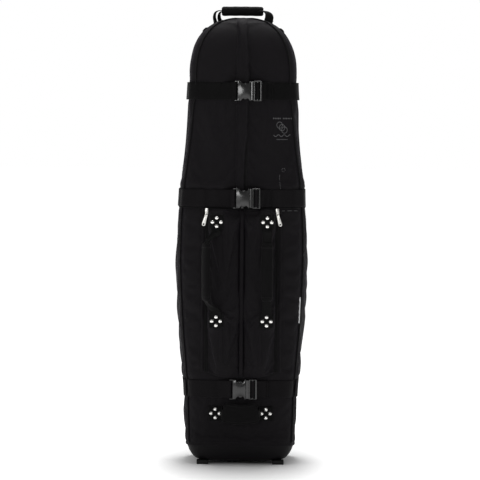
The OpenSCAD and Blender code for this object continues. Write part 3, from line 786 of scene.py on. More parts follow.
def make_body():
    """The body's skin as a grid of points in metres, creased by a cloth simulation, and its UVs."""
    levels, hood_row, crown_row = body_levels()
    rings = [body_ring(z, share) for z, share in levels]
    points = np.array([r[0] for r in rings]) * MM
    lengths = np.array([r[1] for r in rings]) * MM
    rise = summed(np.linalg.norm(np.diff(points[:, 0], axis=0), axis=1))
    uvs = np.stack([lengths, np.broadcast_to(rise[:, None], lengths.shape)], -1)
    x, y, z = points[..., 0], points[..., 1], points[..., 2]
    share = np.array([s for _, s in levels])[:, None]
    # Compression straps draw the walls in, and the soft walls between them stand a little proud.
    cinch = sum(near(z, STRAPS[key] * MM, 46 * MM) * depth for key, depth in CINCH.items())
    seams = np.maximum(near(np.abs(y), SEAM_Y * MM, 14 * MM) * (z < DOME_START * MM),
                       near(x, 0, 16 * MM) * (z > HOOD_SPLIT * MM) * (y < 0))
    pocket = (np.abs(x) < (ZIP_X + 12) * MM) & (y < -60 * MM) & (z > 235 * MM) & (z < HOOD_SPLIT * MM)
    seams = np.maximum(seams, pocket * 1.0)
    soft = ripple(points, 0.09, 1) * 1.6 + ripple(points, 0.035, 2) * 0.6
    push = (soft * (1 - seams) + 1.2 * (1 - seams) - cinch) * MM * (share > 0.5)
    points = points + outward(points) * push[..., None]
    held = np.zeros_like(x)
    for height in STRAPS.values():
        held = np.maximum(held, near(z, height * MM, 34 * MM))
    held = np.maximum(held, seams * 0.9)
    held = np.maximum(held, near(z, HOOD_SPLIT * MM, 14 * MM) * 0.8)
    held = np.maximum(held, near(z, BOOT_TOP * MM, 12 * MM))
    held = np.maximum(held, np.broadcast_to(np.clip((0.62 - share) / 0.25, 0, 1), held.shape))
    held[0] = 1
    last = int(np.argmax(share[:, 0] < 0.34))
    held[last - 1] = 1
    sheet = new_object("cloth_skin", points[:last].reshape(-1, 3), grid_faces(last, COLUMNS, loop=True))
    moved = drape(sheet, held[:last].ravel(), 22, gravity=0.6, slack=0.035, pressure=0.6, bending=0.6)
    # The walls may crease this far, and the dome, whose outline is stiffer, less.
    reach = np.where(z[:last] > (DOME_START - 30) * MM, 2.6, 5.5)[..., None] * MM
    moved = points[:last] + (moved.reshape(last, COLUMNS, 3) - points[:last]) * 0.7
    points[:last] = limited(moved, points[:last], reach)
    return points, uvs, hood_row, crown_row


def surface_of(points, loop=False):
    faces = grid_faces(*points.shape[:2], loop=loop)
    return BVHTree.FromPolygons([tuple(p) for p in points.reshape(-1, 3)], faces)


BODY, BODY_UVS, HOOD_ROW, CROWN_ROW = make_body()
BODY_OUT = outward(BODY)
SKIN = surface_of(BODY, loop=True)


def on_front(x, z, out):
    """The point of the front face at x and z, millimetres, moved out by out."""
    hit, normal, _, _ = SKIN.ray_cast(Vector((x * MM, -0.4, z * MM)), Vector((0, 1, 0)))
    if normal.y > 0:
        normal = -normal
    return np.array(hit) + np.array([0, -out * MM, 0]), np.array(normal)


def panel(node, rows, columns, thick=3.5, caps=()):
    """A lined panel cut from the skin between two rows and two columns, thick millimetres through."""
    picked = np.arange(columns[0], columns[1] + 1) % COLUMNS
    points, uvs = (grid[rows[0]:rows[1] + 1][:, picked] for grid in (BODY, BODY_UVS))
    return thicken(grid_object(f"{node}_fabric", points, uvs, caps), thick, lined=True)


def line_of(column, rows, out):
    """A seam's line up the skin along one column, moved out by out millimetres, and its normals."""
    points, normals = (grid[rows[0]:rows[1] + 1, column % COLUMNS] for grid in (BODY, BODY_OUT))
    return points + normals * out * MM, normals


def make_panels():
    """The sewn shell: the lower walls, the hood and its two flaps."""
    walls = {"front_panel": (-FRONT_SEAM, FRONT_SEAM), "side_panel_left": (-REAR_SEAM, -FRONT_SEAM),
             "side_panel_right": (FRONT_SEAM, REAR_SEAM), "back_panel": (REAR_SEAM, COLUMNS - REAR_SEAM)}
    for node, columns in walls.items():
        piece(panel(node, (0, HOOD_ROW), columns), "case", "body_fabric", [node], padded=0.3, lined=True)
    top = len(BODY) - 1
    width = COLUMNS - 2 * HINGE + 1
    crown_face = tuple((top - HOOD_ROW) * width + k for k in range(width - 1))
    hood = panel("hood_rear", (HOOD_ROW, top), (HINGE, COLUMNS - HINGE), 4.5, [crown_face])
    piece(hood, "case", "body_fabric", ["hood_rear"], padded=0.5, lined=True)
    for name, side in SIDES.items():
        flap = panel(f"flap_{name}", (HOOD_ROW, CROWN_ROW), sorted((0, side * HINGE)), 4.5)
        flap_piece(flap, side, "body_fabric", [f"flap_{name}"], padded=0.5, lined=True)


make_panels()


# ---------------------------------------------------------------- sewing on the skin

# The columns in their order round the body, from the back's middle on the left to it on the right.
ROUND = [*range(BACK_MIDDLE + 1, COLUMNS), *range(BACK_MIDDLE + 1)]
HOOD_ROWS = (HOOD_ROW, CROWN_ROW)


def skin_at(row, along, out):
    """The skin's point on one row, along millimetres round from the front's middle, and its normal."""
    lengths = BODY_UVS[row, ROUND, 0]
    point, normal = (at_run(along * MM, lengths, grid[row, ROUND]) for grid in (BODY, BODY_OUT))
    normal = unit(normal)
    return point + normal * out * MM, normal


def skin_strip(name, rows, edges, lift, thick, across=6):
    """A strip up the skin. edges(row) gives its two sides, and lift(share, row) its distance off the skin."""
    shares = np.linspace(0, 1, across + 1)
    points, uvs = [], []
    for row in range(rows[0], rows[1] + 1):
        start, end = edges(row)
        points.append([skin_at(row, start + (end - start) * t, lift(t, row))[0] for t in shares])
        uvs.append([(BODY_UVS[row, 0, 1], (start + (end - start) * t) * MM) for t in shares])
    return thicken(grid_object(name, np.array(points), np.array(uvs)), thick)


def skin_line(rows, along, out):
    """A line up the skin and its normals. along and out are numbers or functions of the row."""
    along, out = (value if callable(value) else (lambda row, value=value: value) for value in (along, out))
    found = [skin_at(row, along(row), out(row)) for row in range(rows[0], rows[1] + 1)]
    return np.array([p for p, _ in found]), np.array([n for _, n in found])


def make_seams():
    """Corded seams, the rand over the boot's top edge and the rows of stitching."""
    thread = Bits()
    half_way = BODY_UVS[:, BACK_MIDDLE, 0] / MM
    for name, side in SIDES.items():
        rows = (0, HOOD_ROW)
        line, _ = line_of(side * FRONT_SEAM, rows, 1.6)
        piece(cord(f"piping_{name}", line, 2.3 * MM), "case", "piping_cord", ["piping"])
        line, _ = line_of(side * FRONT_SEAM, HOOD_ROWS, 1.4)
        flap_piece(cord(f"hood_piping_{name}", line, 2.2 * MM, (0, 1, 0.3)), side, "piping_cord")
        shoulder = int(np.argmax(BODY[:, side * HINGE % COLUMNS, 2] > SHOULDER_Z * MM))
        line, out = line_of(side * (HINGE + 2), (shoulder - 1, shoulder + 1), 0.4)
        halves = [[end + (end - line[1]) * 0.4, end + normal * 0.6 * MM,
                   end * 0.6 + line[1] * 0.4 + normal * 2.8 * MM] for end, normal in zip(line[::2], out[::2])]
        loop = curve([*halves[0], *halves[1][::-1]], 1 * MM)
        tab = sweep(f"shoulder_loop_{name}", loop, (0, 1, 0), strip_outline(13 * MM, 3.4 * MM))
        piece(tab, "case", "webbing")
        line, _ = line_of(side * REAR_SEAM, (0, len(BODY) - 9), 1.0)
        piece(cord(f"rear_piping_{name}", line, 1.9 * MM), "case", "piping_cord")
        for shift in (-2, 2):
            thread.seam(*line_of(side * FRONT_SEAM + shift, rows, 0.1))
            thread.seam(*line_of(side * REAR_SEAM + shift, (0, len(BODY) - 10), 0.1))
        for x in (42, 78):
            thread.seam(*skin_line((3, HOOD_ROW), lambda row: side * (half_way[row] - x), 0.1))
    back = np.arange(HINGE, COLUMNS - HINGE + 1)
    line = BODY[HOOD_ROW, back] + BODY_OUT[HOOD_ROW, back] * 1.2 * MM
    piece(cord("hood_seam", line, 1.9 * MM), "case", "piping_cord")
    front = np.arange(-HINGE, HINGE + 1) % COLUMNS
    line = BODY[HOOD_ROW, front] + BODY_OUT[HOOD_ROW, front] * 0.3 * MM - np.array([0, 0, 1.6 * MM])
    piece(cord("front_hem", line, 1.6 * MM), "case", "piping_cord")
    # The rand: a woven binding over the seam between the boot and the walls.
    x, y = half_ring(BOOT_TOP + 2, 1)
    rand = np.column_stack([x, y, np.full(len(x), BOOT_TOP)])[::6]
    rand = np.vstack([rand, rand[-2:0:-1] * (-1, 1, 1), rand[:1]]) * MM
    rand[:, :2] *= 1 + 0.9 / 160
    band = sweep("boot_rand", rand, (0, 0, 1), strip_outline(13 * MM, 1.6 * MM), caps=False)
    piece(band, "case", "body_fabric")
    away = unit(rand * (1, 1, 0))
    for z in (-4.6, 4.6):
        thread.seam(rand + np.array([0, 0, z * MM]) + away * 0.9 * MM, away)
    sewn(thread, "body_stitching", "case")


def zip_teeth(line, out):
    """A coil of small teeth along a line."""
    bits = Bits()
    run = run_of(line)
    for at in np.arange(1.5 * MM, run[-1], 2.6 * MM):
        i = min(int(np.searchsorted(run, at)), len(line) - 1)
        side = np.cross(unit(line[i] - line[i - 1]), out[i])
        bits.bead(at_run(at, run, line), side, out[i], 4.4 * MM, 1.5 * MM, 1.3 * MM)
    return bits


def zip_side(stem, name, rows, tape, teeth, body, node):
    """One side's tape, between two distances from the middle, and its teeth, at a distance and a lift."""
    side = SIDES[name]
    edges = sorted(side * x for x in tape)
    strip = skin_strip(f"{stem}_tape_{name}", rows, lambda row: edges, lambda t, row: 1.3, 1.0)
    piece(strip, body, "zip_tape", [node])
    coil = zip_teeth(*skin_line(rows, side * teeth[0], teeth[1]))
    piece(coil.object(f"{stem}_teeth_{name}"), body, "zip_tape", [node])


def make_main_zip():
    """The hood's zip: a tape and a row of teeth on each flap, and the rain flap that hides them."""
    for name, side in SIDES.items():
        zip_side("main_zip", name, HOOD_ROWS, (0.4, 14), (1.9, 2.2), f"flap_{name}", f"main_zip_{name}")
        hem = Bits()
        for x, out in ((12.5, 1.35), (16.5, 0.1)):
            hem.seam(*skin_line(HOOD_ROWS, side * x, out))
        sewn(hem, f"main_zip_stitching_{name}", f"flap_{name}", "zip_tape")

    foot_row, top = HOOD_ROW + 1, CROWN_ROW - 1
    # The cover's free edge wanders across the zip on its way up.
    free = [2.5, 5, 7, 10.5, 14.5, 17, 18, 16, 13, 11.5, 10]

    def share_of(row):
        return (row - HOOD_ROW) / (top - HOOD_ROW)

    def edges(row):
        return -19.5, spline(free, share_of(row)) + 0.8 * math.sin(share_of(row) * 23)

    def lift(t, row):
        share = share_of(row)
        # Its sewn edge lies flat but for the foot, where the slider's pull swings under it.
        foot = max(0, 1 - share / 0.16)
        bell = min(1, t / (0.36 - 0.24 * foot)) ** (0.85 - 0.35 * foot)
        droop = 2.4 * (1 - foot) * max(0, t - 0.82) / 0.18 * (0.5 + 0.5 * math.sin(share * 17 + 1))
        rise = 9.6 * min(1, (1 - share) / 0.13 + 0.12) - droop + 0.5 * math.sin(share * 31 + 4 * t)
        return 1.8 + bell * max(rise, 0.9)

    cover = skin_strip("rain_flap", (foot_row, top), edges, lift, 1.5, 14)
    piece(cover, "flap_left", "body_fabric", ["zip_cover"])
    stitches = Bits()
    for t in (0.05, 0.86):
        stitches.seam(*skin_line((foot_row, top), lambda row: np.interp(t, (0, 1), edges(row)),
                                 lambda row: lift(t, row) + 0.1))
    sewn(stitches, "rain_flap_stitching", "flap_left")


def make_pocket_zips():
    """The shoe pockets' zips, down the front panel beside them."""
    rows = (int(np.argmax(BODY[:, 0, 2] > 264 * MM)), HOOD_ROW)
    thread = Bits()
    for name, side in SIDES.items():
        zip_side("pocket_zip", name, rows, (96.5, 111), (ZIP_X, 1.9), "case", "pocket_zips")
        welt = sorted((side * 105, side * 115))
        strip = skin_strip(f"pocket_zip_welt_{name}", rows, lambda row: welt,
                           lambda t, row: 1.5 + 1.6 * math.sin(math.pi * t) ** 0.6, 1.2)
        piece(strip, "case", "body_fabric")
        thread.seam(*skin_line(rows, side * 112.5, 2.9))
    sewn(thread, "pocket_zip_stitching", "case", "zip_tape")


def make_sliders():
    """Zip sliders and their pulls."""
    for name, side in SIDES.items():
        slider, pull = f"pocket_slider_{name}", f"pocket_pull_{name}"
        cad_piece(slider, f"pocket_slider_body_{name}", 0.9, slider, "bright_metal", "satin_metal")
        low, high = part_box(pull)
        eye = np.array([side * ZIP_X * MM, (low[1] + high[1]) / 2, high[2] - 1.1 * MM])

        turn = math.radians(15) * side

        def place(points):
            x, y, z = (points * MM).T
            return np.column_stack([x * math.cos(turn) - z * math.sin(turn), y,
                                    x * math.sin(turn) + z * math.cos(turn)]) + eye

        outer = [*arc((0, -31), 5.2, 180, 360, 14), *arc((1.2, -1.6), 2.6, 0, 90, 7),
                 *arc((-1.2, -1.6), 2.6, 90, 180, 7)]
        holes = [rounded_box(-2.1, 2.1, -3.4, -1.0, 1), arc((0, -31), 2.4, 0, 345, 20)]
        tab = outline_plate(f"pocket_pull_tab_{name}", outer, holes, -1.1, 1.1, 0.5, place)
        piece(tab, pull, "bright_metal", [pull], "satin_metal")
    cad_piece("main_slider", "main_slider_body", 0.7, "main_slider", "dark_metal")
    cad_piece("main_pull", "main_pull_tab", 0.45, "main_pull", "dark_metal")


# ---------------------------------------------------------------- shoe pockets

def pocket_edge(x):
    """The height of a pocket's lower edge."""
    return POCKET_BOTTOM + POCKET_SAG * (np.abs(x) / POCKET_HALF) ** 2


def crown(x, z):
    """How far a pocket stands out at a place, from 0 at its edges to 1 on its crown."""
    s = np.clip((np.abs(x) - POCKET_SEAM) / (POCKET_HALF - POCKET_SEAM), 0, 1)
    fullness = np.where(s < 0.5, 0.34, 0.8)
    low = np.clip((z - pocket_edge(x)) / 70, 0, 1)
    high = np.clip((POCKET_TOP - z) / 34, 0, 1)
    return ((1 - np.abs(2 * s - 1) ** 3.5) ** fullness * np.sin(np.pi / 2 * low) ** 0.7
            * np.sin(np.pi / 2 * high) ** 0.7)


def pocket_front(x, z):
    return front_y(x, z) - 4 - 26 * float(crown(np.array(x), np.array(z)))


POCKETS = {}


def make_pocket(name, side):
    """A shoe pocket's panel, bellied and creased by a cloth simulation."""
    across = np.concatenate([np.linspace(POCKET_SEAM, 12, 4), np.linspace(12, 86, 20)[1:],
                             np.linspace(86, POCKET_HALF, 4)[1:]])
    xs = across if side == RIGHT else -across[::-1]
    shares = np.concatenate([np.linspace(0, 0.05, 6), np.linspace(0.05, 0.95, 105)[1:],
                             np.linspace(0.95, 1, 6)[1:]])
    points = np.zeros((len(shares), len(xs), 3))
    for j, x in enumerate(xs):
        edge = pocket_edge(x)
        for i, share in enumerate(shares):
            z = edge + share * (POCKET_TOP - edge)
            points[i, j] = (x, pocket_front(x, z), z)
    # The two pockets bulge over the seam between them until they nearly touch.
    inner = np.clip((np.abs(points[..., 0]) - POCKET_SEAM) / 20, 0, 1)
    bulge = 5.6 * (1 - inner) * np.clip(inner / 0.08, 0, 1) * crown(points[..., 0], points[..., 2])
    points[..., 0] -= side * bulge
    points *= MM
    uvs = np.stack([points[..., 0], points[..., 2]], -1)
    seed = 20 + side
    wander = ripple(points, 0.07, seed) * 1.5 + ripple(points, 0.03, seed + 5) * 0.5
    points[..., 1] += wander * MM * crown(points[..., 0] / MM, points[..., 2] / MM)
    rim = np.zeros(points.shape[:2])
    rim[[0, -1]] = 1
    rim[:, [0, -1]] = 1
    # The anchor patches hold the panel flat behind the handles.
    for z in (UPPER_ANCHOR_Z, LOWER_ANCHOR_Z):
        away = np.hypot(points[..., 0] / MM - side * ANCHOR_X, points[..., 2] / MM - z)
        inside = np.clip((POCKET_HALF - np.abs(points[..., 0]) / MM) / 6, 0, 1)
        hold = np.clip((34 - away) / 12, 0, 1) * inside
        points[..., 1] += (-0.1515 - points[..., 1]) * hold
        rim = np.maximum(rim, hold * 0.9)
    sheet = new_object("cloth_pocket", points.reshape(-1, 3), grid_faces(*points.shape[:2]))
    moved = drape(sheet, rim.ravel(), 24, gravity=1.0, slack=0.05, pressure=0.9, bending=0.4)
    points = limited(moved.reshape(points.shape), points, 6 * MM)
    points[..., 1] = np.maximum(points[..., 1], -0.1545)
    obj = thicken(grid_object(f"pocket_panel_{name}_fabric", points, uvs), 3, lined=True)
    pocket_piece(obj, name, "body_fabric", [f"pocket_panel_{name}"], padded=0.4, lined=True)
    POCKETS[name] = points
    # A bound edge goes round the panel, with a row of stitches inside it.
    thread = Bits()
    for edge, inside in ((points[:, 0], points[:, 1]), (points[:, -1], points[:, -2]),
                         (points[0], points[1]), (points[-1], points[-2])):
        thread.seam(edge + unit(inside - edge) * 4.5 * MM - np.array([0, 0.9 * MM, 0]), (0, -1, 0))
    loop = np.vstack([points[0], points[1:, -1], points[-1, -2::-1], points[-2:0:-1, 0], points[:1, 0]])
    loop = resample(loop + np.array([0, 0.9 * MM, 0]), 5 * MM)
    outline = round_outline(4.6 * MM, 3 * MM, 2.4, 12)
    binding = sweep(f"pocket_binding_{name}", loop, (0, 1, 0), outline, caps=False)
    pocket_piece(binding, name, "piping_cord", [f"pocket_panel_{name}"])
    pocket_piece(thread.object(f"pocket_stitching_{name}"), name, "body_fabric", material="thread")


def make_pocket_spine():
    """The corded seam between the two pockets, which fills the groove where they meet."""
    line = [(0, pocket_front(5, z) - 0.5, z) for z in np.linspace(POCKET_BOTTOM + 4, POCKET_TOP - 2, 70)]
    bead = sweep("pocket_spine", np.array(line) * MM, (1, 0, 0), round_outline(12 * MM, 9 * MM, 2.2, 16))
    piece(bead, "case", "body_fabric")


def drop_on(tree, x, z, out):
    """The point where a line straight back at x and z, millimetres, meets a surface, moved forward by out."""
    hit = tree.ray_cast(Vector((x * MM, -0.4, z * MM)), Vector((0, 1, 0)))[0]
    return np.array(hit) - np.array([0, out * MM, 0])


PATCH = 44
RIVET = ((4.9, -0.6), (5.0, 0.2), (4.9, 0.7), (4.3, 1.2), (3.5, 1.4), (3.1, 1.6), (2.7, 2.0), (1.5, 2.3),
         (0.1, 2.4))


def anchor(stem, ending, tree, x, z, body, panel_node, rivet_node):
    """A square of webbing sewn on a surface with a boxed cross, and its diamond of rivets. Returns its y."""
    half = PATCH / 2
    steps = np.linspace(-half, half, 10)
    points = np.array([[drop_on(tree, x + u, z + v, 1.2) for u in steps] for v in steps])
    flat = points[..., 1].min()
    middle = np.clip((half - np.maximum(*np.abs(np.meshgrid(steps, steps)))) / 6, 0, 1)
    points[..., 1] += (flat - points[..., 1]) * middle
    uvs = np.array([[(v * MM, u * MM) for u in steps] for v in steps])
    name = f"{stem}_patch_{ending}"
    piece(thicken(grid_object(name, points, uvs), 2), body, "webbing", [panel_node])
    stitches = Bits()
    edge = half - 3
    corners = [(-edge, -edge), (edge, -edge), (edge, edge), (-edge, edge), (-edge, -edge), (edge, edge)]
    own = surface_of(points)
    for a, b in (*zip(corners, corners[1:]), ((edge, -edge), (-edge, edge))):
        line = np.array([drop_on(own, x + u, z + v, 0.1)
                         for u, v in zip(np.linspace(a[0], b[0], 12), np.linspace(a[1], b[1], 12))])
        stitches.seam(line, (0, -1, 0), 3.6 * MM, 2.8 * MM)
    sewn(stitches, name + "_stitching", body, "webbing")
    rivets = Bits()
    for u, v in ((12, 0), (-12, 0), (0, 12), (0, -12)):
        rivets.lathe(RIVET, ((x + u) * MM, flat - 1.6 * MM, (z + v) * MM), (0, -1, 0))
    heads = mark_sharp(rivets.object(f"{stem}_rivets_{ending}"), 50)
    piece(heads, body, "bright_metal", [rivet_node])
    return flat


# ---------------------------------------------------------------- handles

def turned(points, degrees):
    """Points turned about Z."""
    a = math.radians(degrees)
    x, y, z = np.asarray(points, float).T
    return np.column_stack([x * math.cos(a) - y * math.sin(a), x * math.sin(a) + y * math.cos(a), z])


def tapered(path, widths, thick):
    """Cross-sections of a ribbon whose width changes along it."""
    shares = np.linspace(0, 1, len(path))
    sizes = np.interp(shares, np.linspace(0, 1, len(widths)), widths)
    return np.array([strip_outline(float(size) * MM, thick * MM) for size in sizes])


def pad_size(from_end, run_in, least):
    """A pad's share of its full size: least at its ends, rounding out to 1 over run_in millimetres."""
    taper = np.clip(from_end / run_in, 0, 1)
    return least + (1 - least) * np.sqrt(1 - (1 - taper) ** 2)


def make_carry_handle(name, side):
    """A webbing handle with a padded grip, riveted to a shoe pocket."""
    lean, reach = (-60, 34) if side == LEFT else (0, 26)
    body, pocket = f"carry_{name}", f"pocket_{name}"
    tree = surface_of(POCKETS[name])
    middle = (LOWER_ANCHOR_Z + UPPER_ANCHOR_Z) / 2
    origin = np.array([side * ANCHOR_X, CARRY_AXIS_Y, middle])
    facing = turned([(1, 0, 0)], lean)[0]
    for word, end, height in (("upper", 1, UPPER_ANCHOR_Z), ("lower", -1, LOWER_ANCHOR_Z)):
        flat = anchor("carry", f"{name}_{word}", tree, side * ANCHOR_X, height, pocket,
                      f"pocket_panel_{name}", f"pocket_rivets_{name}")
        rest = flat / MM - 0.8 - CARRY_AXIS_Y
        on_patch = [(0, rest, height + end * out - middle) for out in (18, 0, -17)]
        leg = turned([(0, -2, end * 112), (0, -8, end * 106), (0, -reach * 0.62, end * 96),
                      (0, -reach + 2, end * 84), (0, -reach, end * 74)], lean)
        path = curve((np.vstack([on_patch, leg]) + origin) * MM)
        turn = np.clip((np.arange(len(path)) / len(path) - 0.4) / 0.4, 0, 1)[:, None]
        across = unit((1 - turn) * np.array([1.0, 0, 0]) + turn * facing)
        ribbon = tapered(path, (36, 36, 30, 25, 25, 24), 1.9)
        strap = sweep(f"carry_webbing_{name}_{word}", path, across, ribbon)
        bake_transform(strap)
        dress(strap, "webbing", [f"carry_strap_{name}"])
    length = 164
    at = np.linspace(-length / 2, length / 2, 42)
    bow = 2.5 * np.cos(at / length * math.pi)
    path = (turned(np.column_stack([np.zeros(42), -reach - bow + 1.5, at]), lean) + origin) * MM
    size = pad_size(length / 2 - np.abs(at), 9, 0.66)
    size *= 1 + 0.012 * np.sin(at / 5.3) + 0.02 * np.sin(at / 19 + side)
    outline = np.array([round_outline(33 * s * MM, 18 * s * MM, 2.5) for s in size])
    grip = sweep(f"carry_pad_{name}", path, facing, outline)
    piece(grip, body, "handle_wrap", [f"carry_grip_{name}"], padded=0.8)
    thread = Bits()
    out = turned([(0, -1, 0)], lean)[0]
    for shift in (-13.2, 13.2):
        line = path[3:-3] + facing * shift * MM + out * 4.6 * MM
        thread.seam(line, unit(out + facing * np.sign(shift)))
    sewn(thread, f"carry_pad_stitching_{name}", body, "handle_wrap")
    rim = round_outline(31.5 * MM, 16.8 * MM, 2.5)
    rim = np.vstack([rim, rim[:1]])
    for k, centre in enumerate((path[3], path[-4])):
        ring = centre + rim[:, :1] * facing + rim[:, 1:] * out
        piece(cord(f"carry_pad_rim_{name}_{k}", ring, 1.6 * MM), body, "piping_cord")


def make_bottom_handle():
    """The wide soft handle low on the front."""
    z = BOTTOM_HANDLE_Z
    for name, side in SIDES.items():
        flat = anchor("bottom", name, SKIN, side * ANCHOR_X, z, "case", "front_panel", "bottom_rivets")
        y = flat / MM - 0.8
        route = [(90, y, z), (ANCHOR_X, y, z), (56, y, z), (54, y - 3, z), (53, -131, z - 0.3),
                 (49.5, -141, z - 0.7), (43, -147.5, z - 1), (34, -149, z - 1.5)]
        path = curve(np.array(route) * (side, 1, 1) * MM, 3 * MM)
        strap = sweep(f"bottom_webbing_{name}", path, (0, 0, 1), tapered(path, (36, 36, 32, 27, 25, 25), 1.9))
        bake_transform(strap)
        dress(strap, "webbing", ["bottom_handle_strap"])
    half = 51
    at = np.linspace(-half, half, 34)
    sag = 6 * np.cos(at / (2 * half) * math.pi)
    path = np.column_stack([at, -149 - 0.35 * sag, 154.5 - sag]) * MM
    size = pad_size(half - np.abs(at), 11, 0.64) + 0.012 * np.sin(at / 4.1)
    outline = np.array([round_outline(56 * s * MM, 14 * (0.5 + 0.5 * s) * MM, 2.5) for s in size])
    grip = sweep("bottom_pad", path, (0, 0, 1), outline)
    piece(grip, "bottom_handle", "handle_wrap", ["bottom_handle_grip"], padded=0.6)
    thread = Bits()
    for shift in (-22.5, 22.5):
        thread.seam(path[3:-3] + np.array([0, -5.4, shift]) * MM, (0, -0.9, 0.4 * np.sign(shift)))
    sewn(thread, "bottom_pad_stitching", "bottom_handle", "handle_wrap")


def make_top_handle():
    """The padded grab handle over the hood, on legs of webbing."""
    centre, half = -3, 60
    at = np.linspace(centre - half, centre + half, 36)
    path = np.column_stack([at, np.zeros(36), 1297.5 + 1.5 * np.cos(at / 60)]) * MM
    size = pad_size(half - np.abs(at - centre), 7, 0.72) + 0.015 * np.sin(at / 4.7)
    outline = np.array([round_outline(28 * s * MM, 27 * s * MM, 2.4) for s in size])
    grip = sweep("top_pad", path, (0, 1, 0), outline)
    piece(grip, "top_handle", "handle_wrap", ["top_handle_grip"], padded=0.8)
    thread = Bits()
    for back, high in ((-9.5, 9.3), (9.5, 9.3), (-9.5, -9.3)):
        thread.seam(path[2:-2] + np.array([0, back, high]) * MM, unit([0, back, high]))
    sewn(thread, "top_pad_stitching", "top_handle", "handle_wrap")
    # Each leg's route from the grip to the hood, the way its webbing lies at the hood, and its width.
    legs = {
        "left_front": ([(-50, -6, 1296), (-62, -8, 1297), (-69, -10, 1291), (-70, -11, 1278),
                        (-66, -11, 1266), (-70, -14, 1264)], (0.85, 0.5, 0), 16),
        "left_back": ([(-50, 6, 1299), (-66, 8, 1301), (-80, 9, 1296), (-84, 10, 1282),
                       (-81, 10, 1264), (-90, 10, 1257)], (0.8, 0.6, 0.1), 15),
        "right_front": ([(40, -6, 1298), (56, -9, 1299), (68, -11, 1294), (73, -12, 1282),
                         (72, -12, 1266), (77, -14, 1261)], (0.98, 0.2, 0.1), 29),
        "right_back": ([(42, 6, 1299), (60, 8, 1300), (77, 9, 1294), (83, 10, 1282),
                        (79, 10, 1264), (88, 10, 1258)], (0.6, 0.8, 0.1), 15),
    }
    for word, (points, across, width) in legs.items():
        path = curve(np.array(points) * MM, 3 * MM)
        shares = np.linspace(0, 1, len(path))[:, None]
        side = unit((1 - shares) * np.array([0, 1.0, 0]) + shares * np.array(across))
        strap = sweep(f"top_webbing_{word}", path, side, strip_outline(width * MM, 2.2 * MM))
        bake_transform(strap)
        dress(strap, "webbing", ["top_handle_straps"])


# ---------------------------------------------------------------- straps and buckles

def buckle_frame(key):
    """What carries points drawn in a buckle's own millimetres to their place in metres."""
    z = STRAPS[key]
    lean = math.atan((front_y(0, z + 25) - front_y(0, z - 25)) / 50)
    y = front_y(0, z) - (4.5 if key == "low" else 13)

    def place(points):
        points = np.asarray(points, float)
        side, back, high = np.moveaxis(np.asarray(points, float), -1, 0)
        turned_y = back * math.cos(lean) + high * math.sin(lean)
        turned_z = -back * math.sin(lean) + high * math.cos(lean)
        return np.stack([side + BUCKLE_X[key], turned_y + y, turned_z + z], -1) * MM

    return place


def upright(place):
    """A leaning buckle's own upward direction."""
    foot, head = place([(0, 0, 0), (0, 0, 1)])
    return unit(head - foot)


def strap_line(z, start, end, lift, stand_off):
    """The middle of a strap round the skin between two bearings, and its across direction at each point.
    A slack strap stands off the skin at the case's sides."""
    bearings = np.arange(start, end + 0.01, 1.0)
    heights = z + np.linspace(-WEBBING / 2, WEBBING / 2, 7)
    away = np.array([(math.sin(math.radians(b)), -math.cos(math.radians(b)), 0) for b in bearings])
    distance = np.zeros((len(bearings), len(heights)))
    for i, direction in enumerate(away):
        for j, h in enumerate(heights):
            origin = Vector((0, 0, h * MM)) + Vector(direction) * 0.5
            hit = SKIN.ray_cast(origin, -Vector(direction))[0]
            distance[i, j] = Vector((hit.x, hit.y, 0)).length
    run = (heights - z) * MM
    slope = distance @ run / (run @ run)
    level = distance.mean(axis=1)
    level += np.max(distance - level[:, None] - slope[:, None] * run, axis=1)
    for _ in range(4):
        slope[1:-1] = (slope[:-2] + 2 * slope[1:-1] + slope[2:]) / 4
        level[1:-1] = (level[:-2] + 2 * level[1:-1] + level[2:]) / 4
    lifts = lift + stand_off * near(np.minimum(bearings % 360, -bearings % 360), 92.0, 46.0)
    middle = away * (level + lifts * MM)[:, None] + np.array([0, 0, z * MM])
    across = unit(away * slope[:, None] + np.array([0, 0, 1.0]))
    return middle, across


def strap(name, path, across, wave=0.0):
    """A run of webbing. wave is how far it ripples, in millimetres."""
    path, across = even(path, across)
    if wave:
        run = np.arange(len(path)) * 5.0
        fade = np.clip(np.minimum(run / 25, (run[-1] - run) / 60), 0, 1)
        ripples = np.sin(run / 11 + 2.2) + 0.7 * np.sin(run / 6.1 + 4.4)
        away = unit(np.cross(tangents(path), across))
        path = path + away * (wave * fade * (1 + ripples))[:, None] * MM * 0.5
        across = unit(across + tangents(path) * (0.16 * fade * np.sin(run / 15))[:, None])
    return sweep(name, path, across, strip_outline(WEBBING * MM, 1.9 * MM, 10))


def plane_bearing(z, y):
    """The bearing, in degrees, at which the right side's skin crosses a level y, millimetres."""
    x, ring_y = half_ring(z, 1)
    outer = x > half_width(z) * 0.5
    return math.degrees(math.atan2(float(np.interp(y, ring_y[outer], x[outer])), -y))


